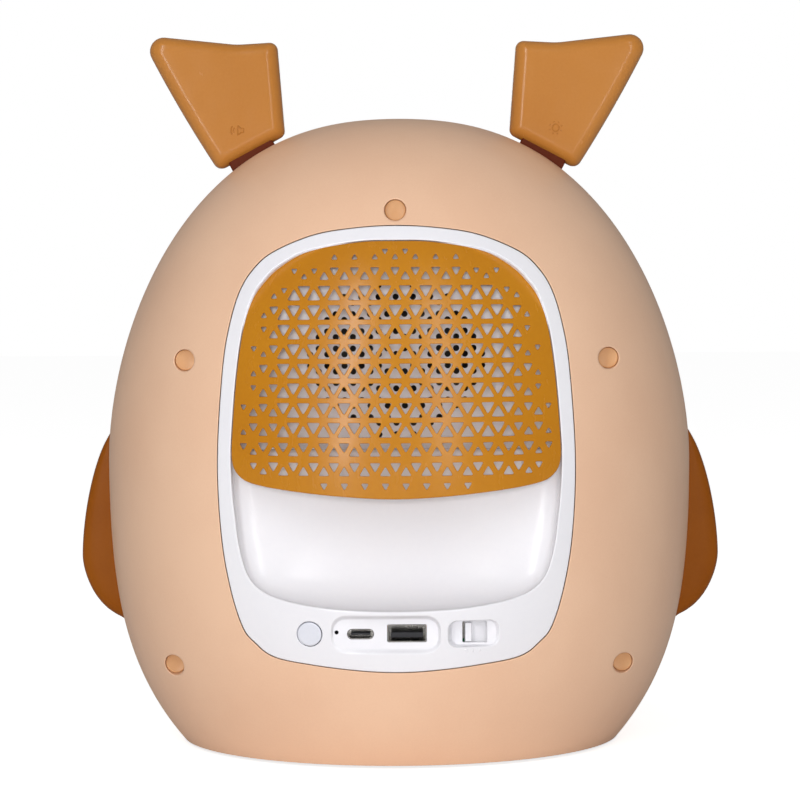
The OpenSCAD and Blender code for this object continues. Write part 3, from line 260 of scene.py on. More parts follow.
def outline(form, width, top, bottom, grow=0.0, step=1.6):
    """A moulding's outline: its form's shares of half the width and half the height, grown and smoothed."""
    mid, half = (top + bottom) / 2, (top - bottom) / 2 + grow
    shares = mirrored(form)
    placed = np.stack([shares[:, 0] * (width / 2 + grow), mid + shares[:, 1] * half], 1)
    return even_steps(curved(placed, 12, True), step, closed=True)


def circle(x, z, r, n):
    """A circle in X and Z."""
    a = np.arange(n) * 2 * math.pi / n
    return np.stack([x + r * np.cos(a), z + r * np.sin(a)], 1)


def round_rect(x, z, w, h, r, corner=6, side=6):
    """A rectangle with round corners: four arcs joined by straight runs of the same number of points."""
    a = np.linspace(0, math.pi / 2, corner)
    arc = r * np.stack([np.cos(a), np.sin(a)], 1)
    corners = []
    for k, (sx, sz) in enumerate([(1, 1), (-1, 1), (-1, -1), (1, -1)]):
        c, s = math.cos(k * math.pi / 2), math.sin(k * math.pi / 2)
        turned = arc @ np.array([[c, s], [-s, c]])
        corners.append(turned + [x + sx * (w / 2 - r), z + sz * (h / 2 - r)])
    t = np.linspace(0, 1, side + 1)[1:-1, None]
    runs = [np.vstack([c, c[-1] + (corners[(k + 1) % 4][0] - c[-1]) * t]) for k, c in enumerate(corners)]
    return np.vstack(runs)


def face_outline(grow):
    """The light-up face's outline, a superellipse of power FACE_POWER."""
    a = np.arange(180) * 2 * math.pi / 180
    c, s = np.cos(a), np.sin(a)
    line = np.stack([np.sign(c) * (FACE_W / 2 + grow) * np.abs(c) ** (2 / FACE_POWER),
                     FACE_Z + np.sign(s) * (FACE_H / 2 + grow) * np.abs(s) ** (2 / FACE_POWER)], 1)
    return even_steps(line, 1.8, closed=True)


# Patches
def inside(points, loops):
    """Even-odd test: a point is inside when its ray along +X crosses the loops an odd number of times."""
    a = np.concatenate(loops)
    b = np.concatenate([np.roll(line, -1, 0) for line in loops])
    slope = (b[:, 0] - a[:, 0]) / np.where(b[:, 1] == a[:, 1], 1e30, b[:, 1] - a[:, 1])
    result = np.zeros(len(points), bool)
    for k in range(0, len(points), 400):
        p = points[k:k + 400, None]
        crosses = (a[:, 1] > p[..., 1]) != (b[:, 1] > p[..., 1])
        at = a[:, 0] + (p[..., 1] - a[:, 1]) * slope
        result[k:k + 400] = (crosses & (at > p[..., 0])).sum(1) % 2 == 1
    return result


def clear_of(points, line, gap):
    """Which points lie further than a gap from every point of a line."""
    keep = np.ones(len(points), bool)
    for k in range(0, len(points), 400):
        far = np.linalg.norm(points[k:k + 400, None] - line[None], axis=2).min(1) > gap
        keep[k:k + 400] = far
    return keep


def filled(loops, spacing):
    """Triangles over a flat region: its loops, a honeycomb of points between them, and a Delaunay mesh."""
    edge = np.concatenate(loops)
    low, high = edge.min(0), edge.max(0)
    rows = np.arange(low[1], high[1], spacing * math.sqrt(3) / 2)
    cols = np.arange(low[0], high[0], spacing)
    grid = np.stack(np.meshgrid(cols, rows), 2)
    grid[1::2, :, 0] += spacing / 2
    grid = grid.reshape(-1, 2)
    grid = grid[inside(grid, loops)]
    if len(grid):
        grid = grid[clear_of(grid, edge, 0.55 * spacing)]
    points = np.vstack([edge, grid])
    start = np.concatenate([[0], np.cumsum([len(line) for line in loops])])
    runs = [np.stack([np.arange(a, b), np.roll(np.arange(a, b), -1)], 1)
            for a, b in zip(start[:-1], start[1:])]
    mesh = geometry.delaunay_2d_cdt(list(map(Vector, points.tolist())),
                                    np.concatenate(runs).tolist(), [], 0, 1e-6, True)
    faces = np.array(mesh[2])
    middles = points[faces].mean(1)
    return points, faces[inside(middles, loops)]


class Moulding:
    """Patches of one piece: points, triangles, most wall behind a point, and its normal, or zero for none."""

    def __init__(self):
        self.points, self.faces, self.normals, self.walls, self.count = [], [], [], [], 0

    def add(self, points, faces, normals=None, wall=FULL_WALL):
        """Adds a patch, whose triangles count its own points from zero."""
        self.points.append(points)
        self.walls.append(np.full(len(points), wall))
        self.faces.append(np.asarray(faces) + self.count)
        self.normals.append(np.zeros_like(points) if normals is None else normals)
        self.count += len(points)

    def strip(self, rings, closed=True, normals=None, wall=THIN_WALL):
        """Joins rows of points, each row to the next, by two triangles a step."""
        rows, n = len(rings), len(rings[0])
        number = np.arange(rows * n).reshape(rows, n)
        if closed:
            number = np.hstack([number, number[:, :1]])
        a, b, c, d = number[:-1, :-1], number[:-1, 1:], number[1:, 1:], number[1:, :-1]
        faces = np.concatenate([np.stack([a, b, c], 2).reshape(-1, 3),
                                np.stack([a, c, d], 2).reshape(-1, 3)])
        self.add(np.concatenate(rings), faces, None if normals is None else np.concatenate(normals), wall)

    def cap(self, ring):
        """Closes a ring at one depth with triangles between its own points."""
        self.add(ring, filled([ring[:, [0, 2]]], 1000.0)[1])

    def merged(self):
        """Points that lie on each other become one, and triangles without area go."""
        points, normals = np.concatenate(self.points), np.concatenate(self.normals)
        _, first, place = np.unique(np.round(points / 1e-4).astype(np.int64), axis=0,
                                    return_index=True, return_inverse=True)
        place = place.reshape(-1)
        faces = place[np.concatenate(self.faces)]
        good = (faces[:, 0] != faces[:, 1]) & (faces[:, 1] != faces[:, 2]) & (faces[:, 0] != faces[:, 2])
        total = np.zeros((len(first), 3))
        np.add.at(total, place, normals)
        length = np.linalg.norm(total, axis=1, keepdims=True)
        self.limits = np.full(len(first), FULL_WALL)
        np.minimum.at(self.limits, place, np.concatenate(self.walls))
        return points[first], faces[good], np.where(length > 1e-6, total / np.maximum(length, 1e-6), 0)


def turned_outwards(points, faces):
    """The triangles, turned so that neighbours agree and closed forms face outwards."""
    mesh = bpy.data.meshes.new("scratch")
    mesh.from_pydata(points.tolist(), [], faces.tolist())
    form = bmesh.new()
    form.from_mesh(mesh)
    bmesh.ops.recalc_face_normals(form, faces=form.faces)
    form.to_mesh(mesh)
    form.free()
    corners = np.zeros(len(mesh.loops), np.int32)
    mesh.loops.foreach_get("vertex_index", corners)
    bpy.data.meshes.remove(mesh)
    return corners.reshape(-1, 3)


def face_cross(points, faces):
    """Normals of the triangles, as long as twice their area."""
    a, b, c = points[faces[:, 0]], points[faces[:, 1]], points[faces[:, 2]]
    return np.cross(b - a, c - a)


def thickened(points, faces, normals, wall):
    """A closed wall from a skin: the skin, its copy a wall's thickness behind it, and rims at open edges.

    wall holds a thickness for each point. The copy stays at least WALL_EASE under the body's surface.
    """
    faces = turned_outwards(points, faces)
    cross = face_cross(points, faces)
    if (cross * normals[faces[:, 0]]).sum() < 0:
        faces, cross = faces[:, ::-1], -cross
    total = np.zeros_like(points)
    for k in range(3):
        np.add.at(total, faces[:, k], cross)
    length = np.linalg.norm(total, axis=1, keepdims=True)
    behind = points - wall[:, None] * total / np.maximum(length, 1e-12)
    reach = np.maximum(np.hypot(behind[:, 0], behind[:, 1]), 1e-6)
    under = np.clip(radius(behind[:, 2]) - WALL_EASE, 0, None) / reach
    behind[:, :2] *= np.minimum(under, 1)[:, None]
    n = len(points)
    edges = np.concatenate([faces[:, [0, 1]], faces[:, [1, 2]], faces[:, [2, 0]]])
    code = edges[:, 0] * n + edges[:, 1]
    back = edges[:, 1] * n + edges[:, 0]
    rim = edges[~np.isin(code, back)]
    a, b = rim[:, 0], rim[:, 1]
    walls = np.concatenate([np.stack([b, a, a + n], 1), np.stack([b, a + n, b + n], 1)])
    return (np.vstack([points, behind]), np.concatenate([faces, faces[:, ::-1] + n, walls]),
            np.vstack([normals, np.zeros_like(normals)]))


def rolled(edge, normal, size, into, hole=True, steps=4):
    """Rings over a rounded rim: a quadratic curve from beside the edge, by the edge, to below it.

    Each ring holds the edge's points. The first lies on the skin, the last is lowered along into.
    """
    along = np.roll(edge, -1, 0) - np.roll(edge, 1, 0)
    away = np.cross(along, normal)
    away /= np.linalg.norm(away, axis=1, keepdims=True)
    to_middle = (away * (edge.mean(0) - edge)).sum()
    if (to_middle > 0) != hole:
        away = -away
    a, b = edge - away * size, edge + np.asarray(into, float) * size
    t = np.linspace(0, 1, steps + 1)
    return [(1 - s) ** 2 * a + 2 * s * (1 - s) * edge + s * s * b for s in t]


def beside(line, distance):
    """A closed flat line moved sideways: outwards where distance is positive and the line turns left."""
    along = np.roll(line, -1, 0) - np.roll(line, 1, 0)
    along /= np.linalg.norm(along, axis=1, keepdims=True)
    return line + distance * np.stack([along[:, 1], -along[:, 0]], 1)


def at_y(flat, y):
    """Points in X and Z, and a depth, as points in space."""
    return np.stack([flat[:, 0], np.broadcast_to(y, len(flat)), flat[:, 1]], 1)


def on_rear(flat):
    """Points in X and Z, laid on the rear surface."""
    return at_y(flat, rear_y(flat[:, 0], flat[:, 1]))


def on_front(flat, lift=0.0):
    """Points in X and Z, laid on the front surface and lifted off it along Y."""
    return at_y(flat, -rear_y(flat[:, 0], flat[:, 1]) - lift)


BACKWARDS = np.array([0.0, -1.0, 0.0])
FORWARDS = np.array([0.0, 1.0, 0.0])


# Pieces
def piece(name, points, faces, normals, body, material, nodes, sharp=40.0):
    """A finished object in metres, with faces outwards, that rides on its body and replaces its CAD nodes."""
    faces = turned_outwards(points, faces)
    mesh = bpy.data.meshes.new(name)
    mesh.from_pydata((points * MM).tolist(), [], faces.tolist())
    mesh.polygons.foreach_set("use_smooth", np.ones(len(faces), bool))
    mesh.set_sharp_from_angle(angle=math.radians(sharp))
    if np.abs(normals).sum() > 0:
        mesh.normals_split_custom_set_from_vertices(normals.tolist())
    mesh.materials.append(material)
    mesh.update()
    obj = bpy.data.objects.new(name, mesh)
    bpy.context.collection.objects.link(obj)
    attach(obj, body)
    if nodes:
        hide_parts(*nodes)
    return obj


def solid(name, moulding, body, material, nodes, sharp=40.0):
    """A piece from a closed moulding."""
    points, faces, normals = moulding.merged()
    return piece(name, points, faces, normals, body, material, nodes, sharp)


def walled(name, moulding, wall, body, material, nodes, sharp=40.0):
    """A piece from a moulding's outer skin, given a wall."""
    points, faces, normals = moulding.merged()
    wall = np.minimum(moulding.limits, wall)
    return piece(name, *thickened(points, faces, normals, wall), body, material, nodes, sharp)


# Finishes
def tint(red, green, blue):
    """A screen colour from 0 to 255 as linear light."""
    c = np.array([red, green, blue]) / 255.0
    linear = np.where(c <= 0.04045, c / 12.92, ((c + 0.055) / 1.055) ** 2.4)
    return (*linear.tolist(), 1.0)


def put(tree, kind, settings=None, inputs=None):
    """One shader node with its settings, and its inputs as numbers, colours or links."""
    node = tree.nodes.new(kind)
    for name, value in (settings or {}).items():
        setattr(node, name, value)
    for key, value in (inputs or {}).items():
        if isinstance(value, bpy.types.NodeSocket):
            tree.links.new(value, node.inputs[key])
        else:
            node.inputs[key].default_value = value
    return node


def noise(tree, where, scale, detail=2.0, stretch=(1, 1, 1)):
    """A noise value between 0 and 1 on the object's own coordinates."""
    mapped = put(tree, "ShaderNodeMapping", inputs={"Vector": where, "Scale": stretch})
    made = put(tree, "ShaderNodeTexNoise",
               inputs={"Vector": mapped.outputs[0], "Scale": scale, "Detail": detail})
    return made.outputs["Fac"]


def between(tree, value, low, high, from_low=0.3, from_high=0.7):
    """A value between low and high, from a noise between its own low and high."""
    made = put(tree, "ShaderNodeMapRange",
               inputs={"Value": value, "From Min": from_low, "From Max": from_high,
                       "To Min": low, "To Max": high})
    return made.outputs[0]


def finish(name, colour, shade, rough, grain, depth, scuff=0.06, stretch=(1, 1, 1), **shader):
    """A finish: colour that drifts to a shade in soft patches, scuffed gloss, and a fine grain as bump.

    grain is the size of the grain in millimetres, and depth its height in micrometres.
    """
    material = bpy.data.materials.new(f"{name}_finish")
    material.use_nodes = True
    tree = material.node_tree
    bsdf = tree.nodes["Principled BSDF"]
    where = put(tree, "ShaderNodeTexCoord").outputs["Object"]
    patches = noise(tree, where, 22.0, 3.0, stretch)
    specks = noise(tree, where, 900.0 / max(grain, 0.3), 2.0, stretch)
    mixed = put(tree, "ShaderNodeMath", {"operation": "MULTIPLY_ADD"}, {0: specks, 1: 0.35, 2: patches})
    share = between(tree, mixed.outputs[0], 0.0, 1.0, 0.5, 0.85)
    blend = put(tree, "ShaderNodeMix", {"data_type": "RGBA"}, {0: share, 6: colour, 7: shade})
    tree.links.new(blend.outputs[2], bsdf.inputs["Base Color"])
    scuffs = noise(tree, where, 260.0, 6.0, (1.0, 1.0, 0.35))
    gloss = between(tree, scuffs, rough, min(rough + scuff, 1.0), 0.45, 0.75)
    tree.links.new(gloss, bsdf.inputs["Roughness"])
    bump = put(tree, "ShaderNodeBump", inputs={"Strength": 1.0, "Distance": depth * 1e-6,
                                               "Height": noise(tree, where, 1000.0 / grain, 3.0, stretch)})
    tree.links.new(bump.outputs[0], bsdf.inputs["Normal"])
    for key, value in shader.items():
        bsdf.inputs[key.replace("_", " ")].default_value = value
    return material


# Colour, shade, roughness, grain in millimetres, its height in micrometres, and what else a finish needs
RECIPES = {
    "beige_plastic": ((233, 193, 162), (228, 186, 155), 0.42, 0.6, 5, {}),
    "caramel_plastic": ((184, 121, 52), (178, 115, 46), 0.22, 0.9, 3, {}),
    "plug_caramel": ((206, 160, 114), (200, 153, 107), 0.3, 0.9, 3, {}),
    "caramel_gloss": ((187, 122, 8), (181, 115, 5), 0.24, 1.2, 3, {}),
    "brown_plastic": ((141, 76, 4), (133, 69, 3), 0.36, 0.8, 4, {"Specular_IOR_Level": 0.2}),
    # dark_brown_plastic: the ear necks' dark brown is painted shade, ear plastic darkened for the shadow it
    # sits in under the ears
    "dark_brown_plastic": ((96, 36, 10), (84, 30, 8), 0.45, 0.7, 5, {"Specular_IOR_Level": 0.15}),
    "white_gloss": ((233, 232, 236), (230, 229, 234), 0.2, 1.6, 2, {"scuff": 0.04}),
    "grey_white_plastic": ((222, 224, 232), (216, 218, 228), 0.3, 1.0, 3, {}),
    "cream_plastic": ((246, 238, 224), (240, 231, 215), 0.3, 1.0, 3,
                      {"Subsurface_Weight": 0.15, "Subsurface_Scale": 0.002}),
    "lens_brown": ((52, 30, 20), (40, 22, 15), 0.08, 1.5, 1, {"scuff": 0.03, "Coat_Weight": 0.6}),
    "black_plastic": ((44, 44, 48), (34, 34, 38), 0.45, 0.8, 6, {}),
    "steel": ((200, 201, 205), (182, 183, 188), 0.26, 0.5, 3,
              {"scuff": 0.12, "stretch": (1, 1, 8), "Metallic": 1.0}),
    "socket_steel": ((214, 212, 208), (196, 192, 186), 0.22, 0.5, 3, {"scuff": 0.1, "Metallic": 1.0}),
    "ferrite": ((62, 62, 66), (48, 48, 52), 0.6, 0.5, 14, {"scuff": 0.1}),
    "copper": ((198, 134, 92), (176, 108, 70), 0.3, 0.3, 12,
               {"scuff": 0.1, "stretch": (1, 6, 1), "Metallic": 1.0}),
    "rubber": ((84, 66, 56), (72, 56, 48), 0.75, 0.4, 12, {"scuff": 0.1}),
    "gasket_foam": ((40, 40, 42), (26, 26, 28), 0.9, 0.5, 60, {"scuff": 0.05}),
    "cone_paper": ((62, 62, 62), (50, 50, 50), 0.8, 0.7, 30, {"scuff": 0.1}),
    "spider_cloth": ((206, 174, 70), (182, 148, 52), 0.8, 0.6, 50, {"scuff": 0.1, "stretch": (6, 1, 1)}),
    "circuit_board": ((48, 112, 80), (38, 98, 68), 0.35, 1.2, 6, {"scuff": 0.1}),
    "cell_wrap": ((70, 134, 188), (58, 120, 176), 0.25, 2.5, 8, {}),
    "lead_red": ((178, 38, 38), (160, 30, 30), 0.4, 1.0, 5, {}),
}
FINISHES = {name: finish(name, tint(*colour), tint(*shade), rough, grain, depth, **extra)
            for name, (colour, shade, rough, grain, depth, extra) in RECIPES.items()}


def finish_of(node):
    """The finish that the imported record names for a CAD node."""
    for part in frame["record"]["subparts"]:
        if part["node"] == node:
            return FINISHES[part["material_slot"]]
    raise KeyError(node)


def dress_cad_nodes():
    """Gives every CAD node the finish of its slot."""
    for name, obj in frame["nodes"].items():
        material = finish_of(name)
        for place in obj.material_slots:
            place.material = material
        if not obj.material_slots:
            obj.data.materials.append(material)


dress_cad_nodes()


# Ear frame
def from_ear(points, side):
    """Points of the ear's frame (across, thickness, up), leaned outwards and set on the dome."""
    c, s = math.cos(EAR_LEAN), math.sin(EAR_LEAN)
    foot = EQUATOR + DOME_H * (1 - (EAR_X / BODY_R) ** CROWN_POWER) ** (1 / FLANK_POWER) + EAR_GAP
    u, w, v = points.T
    return np.stack([side * (EAR_X + u * c + v * s), w, foot - u * s + v * c], 1)


def dropped_on_dome(u, w, side):
    """Points of the dome under places of the ear's frame, found by halving the height's range."""
    low, high = np.full(len(u), -40.0), np.full(len(u), 6.0)
    for _ in range(40):
        v = (low + high) / 2
        p = from_ear(np.stack([u, w, v], 1), side)
        out = np.hypot(p[:, 0], p[:, 1]) > radius(p[:, 2])
        low, high = np.where(out, low, v), np.where(out, v, high)
    return from_ear(np.stack([u, w, (low + high) / 2], 1), side)


def neck_notch(side, back):
    """The half slot that lets an ear's neck through the dome: three sides of a box, on the surface."""
    half_u, half_w = NECK_W / 2 + SLOT_EASE_U, NECK_T / 2 + SLOT_EASE_W
    flat_u, flat_w = half_u - SLOT_CORNER, half_w - SLOT_CORNER
    corners = np.array([[half_u, 0], [half_u, flat_w], [flat_u, half_w],
                        [-flat_u, half_w], [-half_u, flat_w], [-half_u, 0]])
    path = even_steps(corners, 1.0)
    return dropped_on_dome(path[:, 0], back * path[:, 1], side)


def half_outline(back):
    """Edge of one shell: up the split, round each neck's slot, down, and back along the floor."""
    foot_angle = math.asin(-(EQUATOR - FLOOR_GAP) / math.hypot(EQUATOR - FLOOR_GAP, float(radius(FLOOR_GAP))))
    right, left = neck_notch(1, back), neck_notch(-1, back)
    ends = [right[0], right[-1], left[-1], left[0]]
    angles = [foot_angle, *[math.atan2(p[2] - EQUATOR, p[0]) for p in ends], math.pi - foot_angle]
    arcs = []
    for a, b in zip(angles[::2], angles[1::2]):
        turn = np.linspace(a, b, max(int(abs(b - a) * BODY_R / 2.5), 4))
        flat = BODY_R * math.pi / 2 * np.stack([np.cos(turn), np.sin(turn)], 1)
        arcs.append(from_map(flat, back))
    turn = np.linspace(math.pi, 0, 110)[1:-1]
    r = float(radius(FLOOR_GAP))
    floor = np.stack([r * np.cos(turn), back * r * np.sin(turn), np.full(len(turn), FLOOR_GAP)], 1)
    return np.vstack([arcs[0][:-1], right, arcs[1][1:-1], left[::-1], arcs[2][1:], floor])


def skin_over(moulding, rims, back):
    """The body's surface between the rims, with the surface's own normals."""
    flat, faces = filled([to_map(rim, back) for rim in rims], SKIN_STEP)
    points = from_map(flat, back)
    edge = np.concatenate(rims)
    points[:len(edge)] = edge
    moulding.add(points, faces, body_normals(points))


def first_normals(rings):
    """The body's normals on a rim's first ring, and none on the others."""
    return [body_normals(rings[0])] + [np.zeros_like(r) for r in rings[1:]]


def well_circle(x, z, r=WELL_R, n=40):
    """A screw well's mouth, laid on the rear surface."""
    return on_rear(circle(x, z, r, n))


def build_rear_shell():
    """Rear half of the housing: skin with rolled rims at the split, the panel's opening and the wells."""
    shell = Moulding()
    edge = half_outline(1)
    rims = [rolled(edge, body_normals(edge), SPLIT_ROLL, -body_normals(edge), hole=False)]
    opening = on_rear(outline(PANEL_FORM, PANEL_W, PANEL_TOP, PANEL_BOTTOM, SEAM))
    rim = rolled(opening, body_normals(opening), PANEL_OPENING_ROLL, BACKWARDS)
    rims.append(rim + [rim[-1] + BACKWARDS * 2.0])
    for x, z in WELLS:
        mouth = well_circle(x, z)
        rim = rolled(mouth, body_normals(mouth), WELL_ROLL, BACKWARDS, steps=6)
        floor = at_y(circle(x, z, WELL_R, 40), WELL_FLOOR_Y)
        bore = at_y(circle(x, z, WELL_BORE_R, 40), WELL_FLOOR_Y)
        rims.append(rim + [floor + FORWARDS * 0.3, floor, bore])
    for rim, wall in zip(rims, [FULL_WALL] + [THIN_WALL] * len(rims)):
        shell.strip(rim, normals=first_normals(rim), wall=wall)
    skin_over(shell, [rim[0] for rim in rims], 1)
    return walled("rear_shell_skin", shell, SHELL_WALL - WALL_EASE, "housing", FINISHES["beige_plastic"],
                  ["rear_shell"])


def build_front_shell():
    """Front half of the housing: skin with rolled rims at the split and round the face."""
    shell = Moulding()
    edge = half_outline(-1)
    rims = [rolled(edge, body_normals(edge), SPLIT_ROLL, -body_normals(edge), hole=False)]
    opening = on_front(face_outline(SEAM))
    rim = rolled(opening, body_normals(opening), FACE_OPENING_ROLL, FORWARDS)
    rims.append(rim + [rim[-1] + FORWARDS * 1.6])
    for rim, wall in zip(rims, [FULL_WALL] + [THIN_WALL] * len(rims)):
        shell.strip(rim, normals=first_normals(rim), wall=wall)
    skin_over(shell, [rim[0] for rim in rims], -1)
    return walled("front_shell_skin", shell, SHELL_WALL - WALL_EASE, "housing", FINISHES["beige_plastic"],
                  ["front_shell"])


# Rear panel
def opening_halves():
    """The panel's opening: the grille's side, right to left over the top, and the recess's, left to right."""
    whole = curved(outline(GRILLE_FORM, GRILLE_W, GRILLE_TOP, GRILLE_BOTTOM, SEAM, 0.5), 1, True)
    right = whole[: len(whole) // 2]
    right = right[right[:, 0] >= 0]
    cut = np.flatnonzero(right[:, 1] < RECESS_MEET)[0]
    a, b = right[cut - 1], right[cut]
    joint = a + (b - a) * (RECESS_MEET - a[1]) / (b[1] - a[1])
    side = even_steps(np.vstack([right[:cut], joint]), 1.7)
    side[0, 0] = 0.0
    upper = np.vstack([side[::-1], side[1:] * [-1, 1]])
    form = np.asarray(RECESS_FORM, float) * [RECESS_W / 2, RECESS_MEET - RECESS_LIP] + [0, RECESS_LIP]
    low = curved(form, 12, False)
    ease = np.clip((low[:, 1] - RECESS_EASE_Z) / (RECESS_MEET - RECESS_EASE_Z), 0, 1)
    low[:, 0] += (joint[0] - RECESS_W / 2) * ease ** 2 * (3 - 2 * ease)
    low = even_steps(low, 1.7)
    low[0], low[-1, 0] = joint, 0.0
    lower = np.vstack([low * [-1, 1], low[-2::-1]])
    return upper, lower


def bowl_rings(edge, steps=34):
    """The finger recess: rings that shrink towards its top middle and deepen as a superellipse.

    share = cos(e)^(2/k) of the edge, depth = sin(e)^(2/k) of the way to the back, where k is the
    power of the curve: soft at the bottom, tighter at the sides.
    """
    middle = np.array([0.0, RECESS_MEET])
    flat = edge[:, [0, 2]]
    raised = np.clip((flat[:, 1] - RECESS_LIP) / BOWL_RISE, 0, 1)
    sideways = np.clip(np.abs(flat[:, 0]) / (RECESS_W / 2), 0, 1) ** 2 * raised
    power = BOWL_SOFT + (BOWL_TIGHT - BOWL_SOFT) * sideways
    rings = []
    for e in np.linspace(0, math.pi / 2, steps):
        share = np.cos(e) ** (2 / power) if e < math.pi / 2 - 1e-6 else np.zeros(len(edge))
        depth = np.sin(e) ** (2 / power) if e > 0 else np.zeros(len(edge))
        ring = middle + (flat - middle) * share[:, None]
        rings.append(at_y(ring, edge[:, 1] - (edge[:, 1] - RECESS_Y) * depth))
    return rings


def inward(line):
    """Sideways directions, towards the inside, along an open line that runs right to left over the top."""
    along = np.gradient(line, axis=0)
    along /= np.linalg.norm(along, axis=1, keepdims=True)
    side = np.stack([-along[:, 1], along[:, 0]], 1)
    side[[0, -1]] = [[-1, 0], [1, 0]]
    return side


def sound_hole_centres():
    """Round holes in pairs of rows, each second row shifted by half a pitch, inside an ellipse."""
    row, half, col = np.meshgrid(np.arange(-5, 5), [0, 1], np.arange(-7, 8), indexing="ij")
    z = (row + 0.5) * SOUND_PAIRS_APART + (half - 0.5) * SOUND_ROWS_APART
    x = (col + (row + half) % 2 / 2) * SOUND_PITCH
    keep = (x / FIELD_X) ** 2 + (z / FIELD_Z) ** 2 < 1
    return np.stack([x[keep], z[keep] + DRIVER_Z + FIELD_RISE], 1)


def pocket_rings(pocket, floor_y, slope_x, slope_z, steps=9):
    """A pocket's wall: a round rectangle shrinks while its depth goes from the skin to the floor in an S."""
    x, z, w, h, r = pocket
    rings = []
    for e in np.linspace(0, 1, steps):
        flat = round_rect(x, z, w - 2 * slope_x * e, h - 2 * slope_z * e,
                          r - min(slope_x, slope_z) * e, 8, 8)
        top = rear_y(flat[:, 0], flat[:, 1])
        rings.append(at_y(flat, top + (floor_y - top) * e * e * (3 - 2 * e)))
    return rings


def pocket_floor_y(pocket, side):
    """Depth of a pocket's floor: POCKET_DEPTH under the rear surface at the pocket's outer end."""
    return float(rear_y(pocket[0] + side * pocket[2] / 2, CONTROL_Z)) - POCKET_DEPTH


PORT_Y = pocket_floor_y(PORT_POCKET, 1)
SWITCH_Y = pocket_floor_y(SWITCH_POCKET, -1)


def panel_frame(panel, lip, pockets):
    """The frame round grille and recess: a rolled rim, the button's bore and the skin between openings."""
    edge = on_rear(outline(PANEL_FORM, PANEL_W, PANEL_TOP, PANEL_BOTTOM))
    rim = rolled(edge, body_normals(edge), PANEL_ROLL, BACKWARDS, hole=False)
    outer = rim + [rim[-1] + BACKWARDS * 1.6]
    button = on_rear(circle(BUTTON_X, CONTROL_Z, BUTTON_R + BUTTON_GAP, 48))
    button_rim = rolled(button, body_normals(button), BUTTON_BORE_ROLL, BACKWARDS)
    button_rim.append(button_rim[-1] + BACKWARDS * 2.6)
    openings = [outer, lip, *pockets, button_rim]
    for rings in openings:
        panel.strip(rings, normals=first_normals(rings))
    rims = [rings[0] for rings in openings]
    flat, faces = filled([ring[:, [0, 2]] for ring in rims], 2.4)
    points = on_rear(flat)
    points[:sum(map(len, rims))] = np.concatenate(rims)
    panel.add(points, faces, body_normals(points))


def flat_floor(panel, loops, y, spacing):
    """A flat part of the panel at one depth, between its edge and its holes, with one normal."""
    flat, faces = filled(loops, spacing)
    panel.add(at_y(flat, y), faces, np.tile(FORWARDS, (len(flat), 1)))


def driver_wall(panel, edge):
    """The wall behind the grille: straight down from the edge, round in a quarter circle, then flat."""
    flat = edge[:, [0, 2]]
    side = inward(flat) * DRIVER_WALL_BEND
    rings = [edge, at_y(flat, np.minimum(edge[:, 1], DRIVER_WALL_Y + DRIVER_WALL_BEND))]
    for e in np.linspace(0, math.pi / 2, 9)[1:]:
        depth = DRIVER_WALL_Y + DRIVER_WALL_BEND * (1 - math.sin(e))
        rings.append(at_y(flat + side * (1 - math.cos(e)), depth))
    panel.strip(rings, closed=False)
    back = rings[-1][:, [0, 2]]
    base = even_steps(back[[-1, 0]], 2.0)[1:-1]
    holes = [circle(x, z, SOUND_HOLE_R, 16) for x, z in sound_hole_centres()]
    flat_floor(panel, [np.vstack([back, base])] + holes, DRIVER_WALL_Y, 3.0)


def finger_recess(panel, edge):
    """The bowl under the grille, and the ledge that rolls over its top to the driver's wall."""
    bowl = bowl_rings(edge)
    panel.strip(bowl, closed=False, wall=FULL_WALL)
    top = np.array([ring[-1] for ring in bowl] + [ring[0] for ring in bowl[-2::-1]])
    ledge = [top]
    for e in np.linspace(0, math.pi / 2, 7)[1:]:
        ledge.append(top + [0, -LEDGE_ROLL * (1 - math.cos(e)), LEDGE_ROLL * math.sin(e)])
    flat_end = ledge[-1].copy()
    flat_end[:, 1] = DRIVER_WALL_Y
    panel.strip(ledge + [flat_end], closed=False)


def pocket_floor(panel, floor_ring, holes, y, roll):
    """A pocket's floor, with a rolled rim and a short bore at each of its holes."""
    loops = [floor_ring]
    for hole in holes:
        edge = at_y(hole, y)
        rim = rolled(edge, np.tile(FORWARDS, (len(edge), 1)), roll, BACKWARDS)
        rim.append(rim[-1] + BACKWARDS * 1.0)
        panel.strip(rim)
        loops.append(rim[0])
    flat_floor(panel, [ring[:, [0, 2]] for ring in loops], y, 2.0)


def build_rear_panel():
    """The white moulding: frame, driver wall behind the grille, finger recess, and the two pockets."""
    panel = Moulding()
    upper, lower = opening_halves()
    mouth = on_rear(np.vstack([upper, lower[1:-1]]))
    lip = rolled(mouth, body_normals(mouth), MOUTH_ROLL, BACKWARDS, steps=6)
    ports = pocket_rings(PORT_POCKET, PORT_Y, 1.0, 2.0)
    switch = pocket_rings(SWITCH_POCKET, SWITCH_Y, 1.6, 0.8)
    panel_frame(panel, lip, [ports, switch])
    driver_wall(panel, lip[-1][:len(upper)])
    finger_recess(panel, np.vstack([lip[-1][len(upper) - 1:], lip[-1][:1]]))

    sockets = [round_rect(x, z, w + SOCKET_EASE, h + SOCKET_EASE, r, arc, 4)
               for (x, z, w, h), r, arc in ((USB_A, 0.5, 4), (USB_C, 1.75, 8))]
    slot = round_rect(sum(SLOT_X) / 2, sum(SLOT_Z) / 2, SLOT_X[1] - SLOT_X[0], SLOT_Z[1] - SLOT_Z[0],
                      0.4, 4, 4)
    pocket_floor(panel, ports[-1], sockets + [circle(*PINHOLE, 0.7, 20)], PORT_Y, PORT_ROLL)
    pocket_floor(panel, switch[-1], [slot], SWITCH_Y, SLOT_ROLL)
    return walled("rear_panel_moulding", panel, 1.4, "housing", FINISHES["white_gloss"], ["rear_panel"])


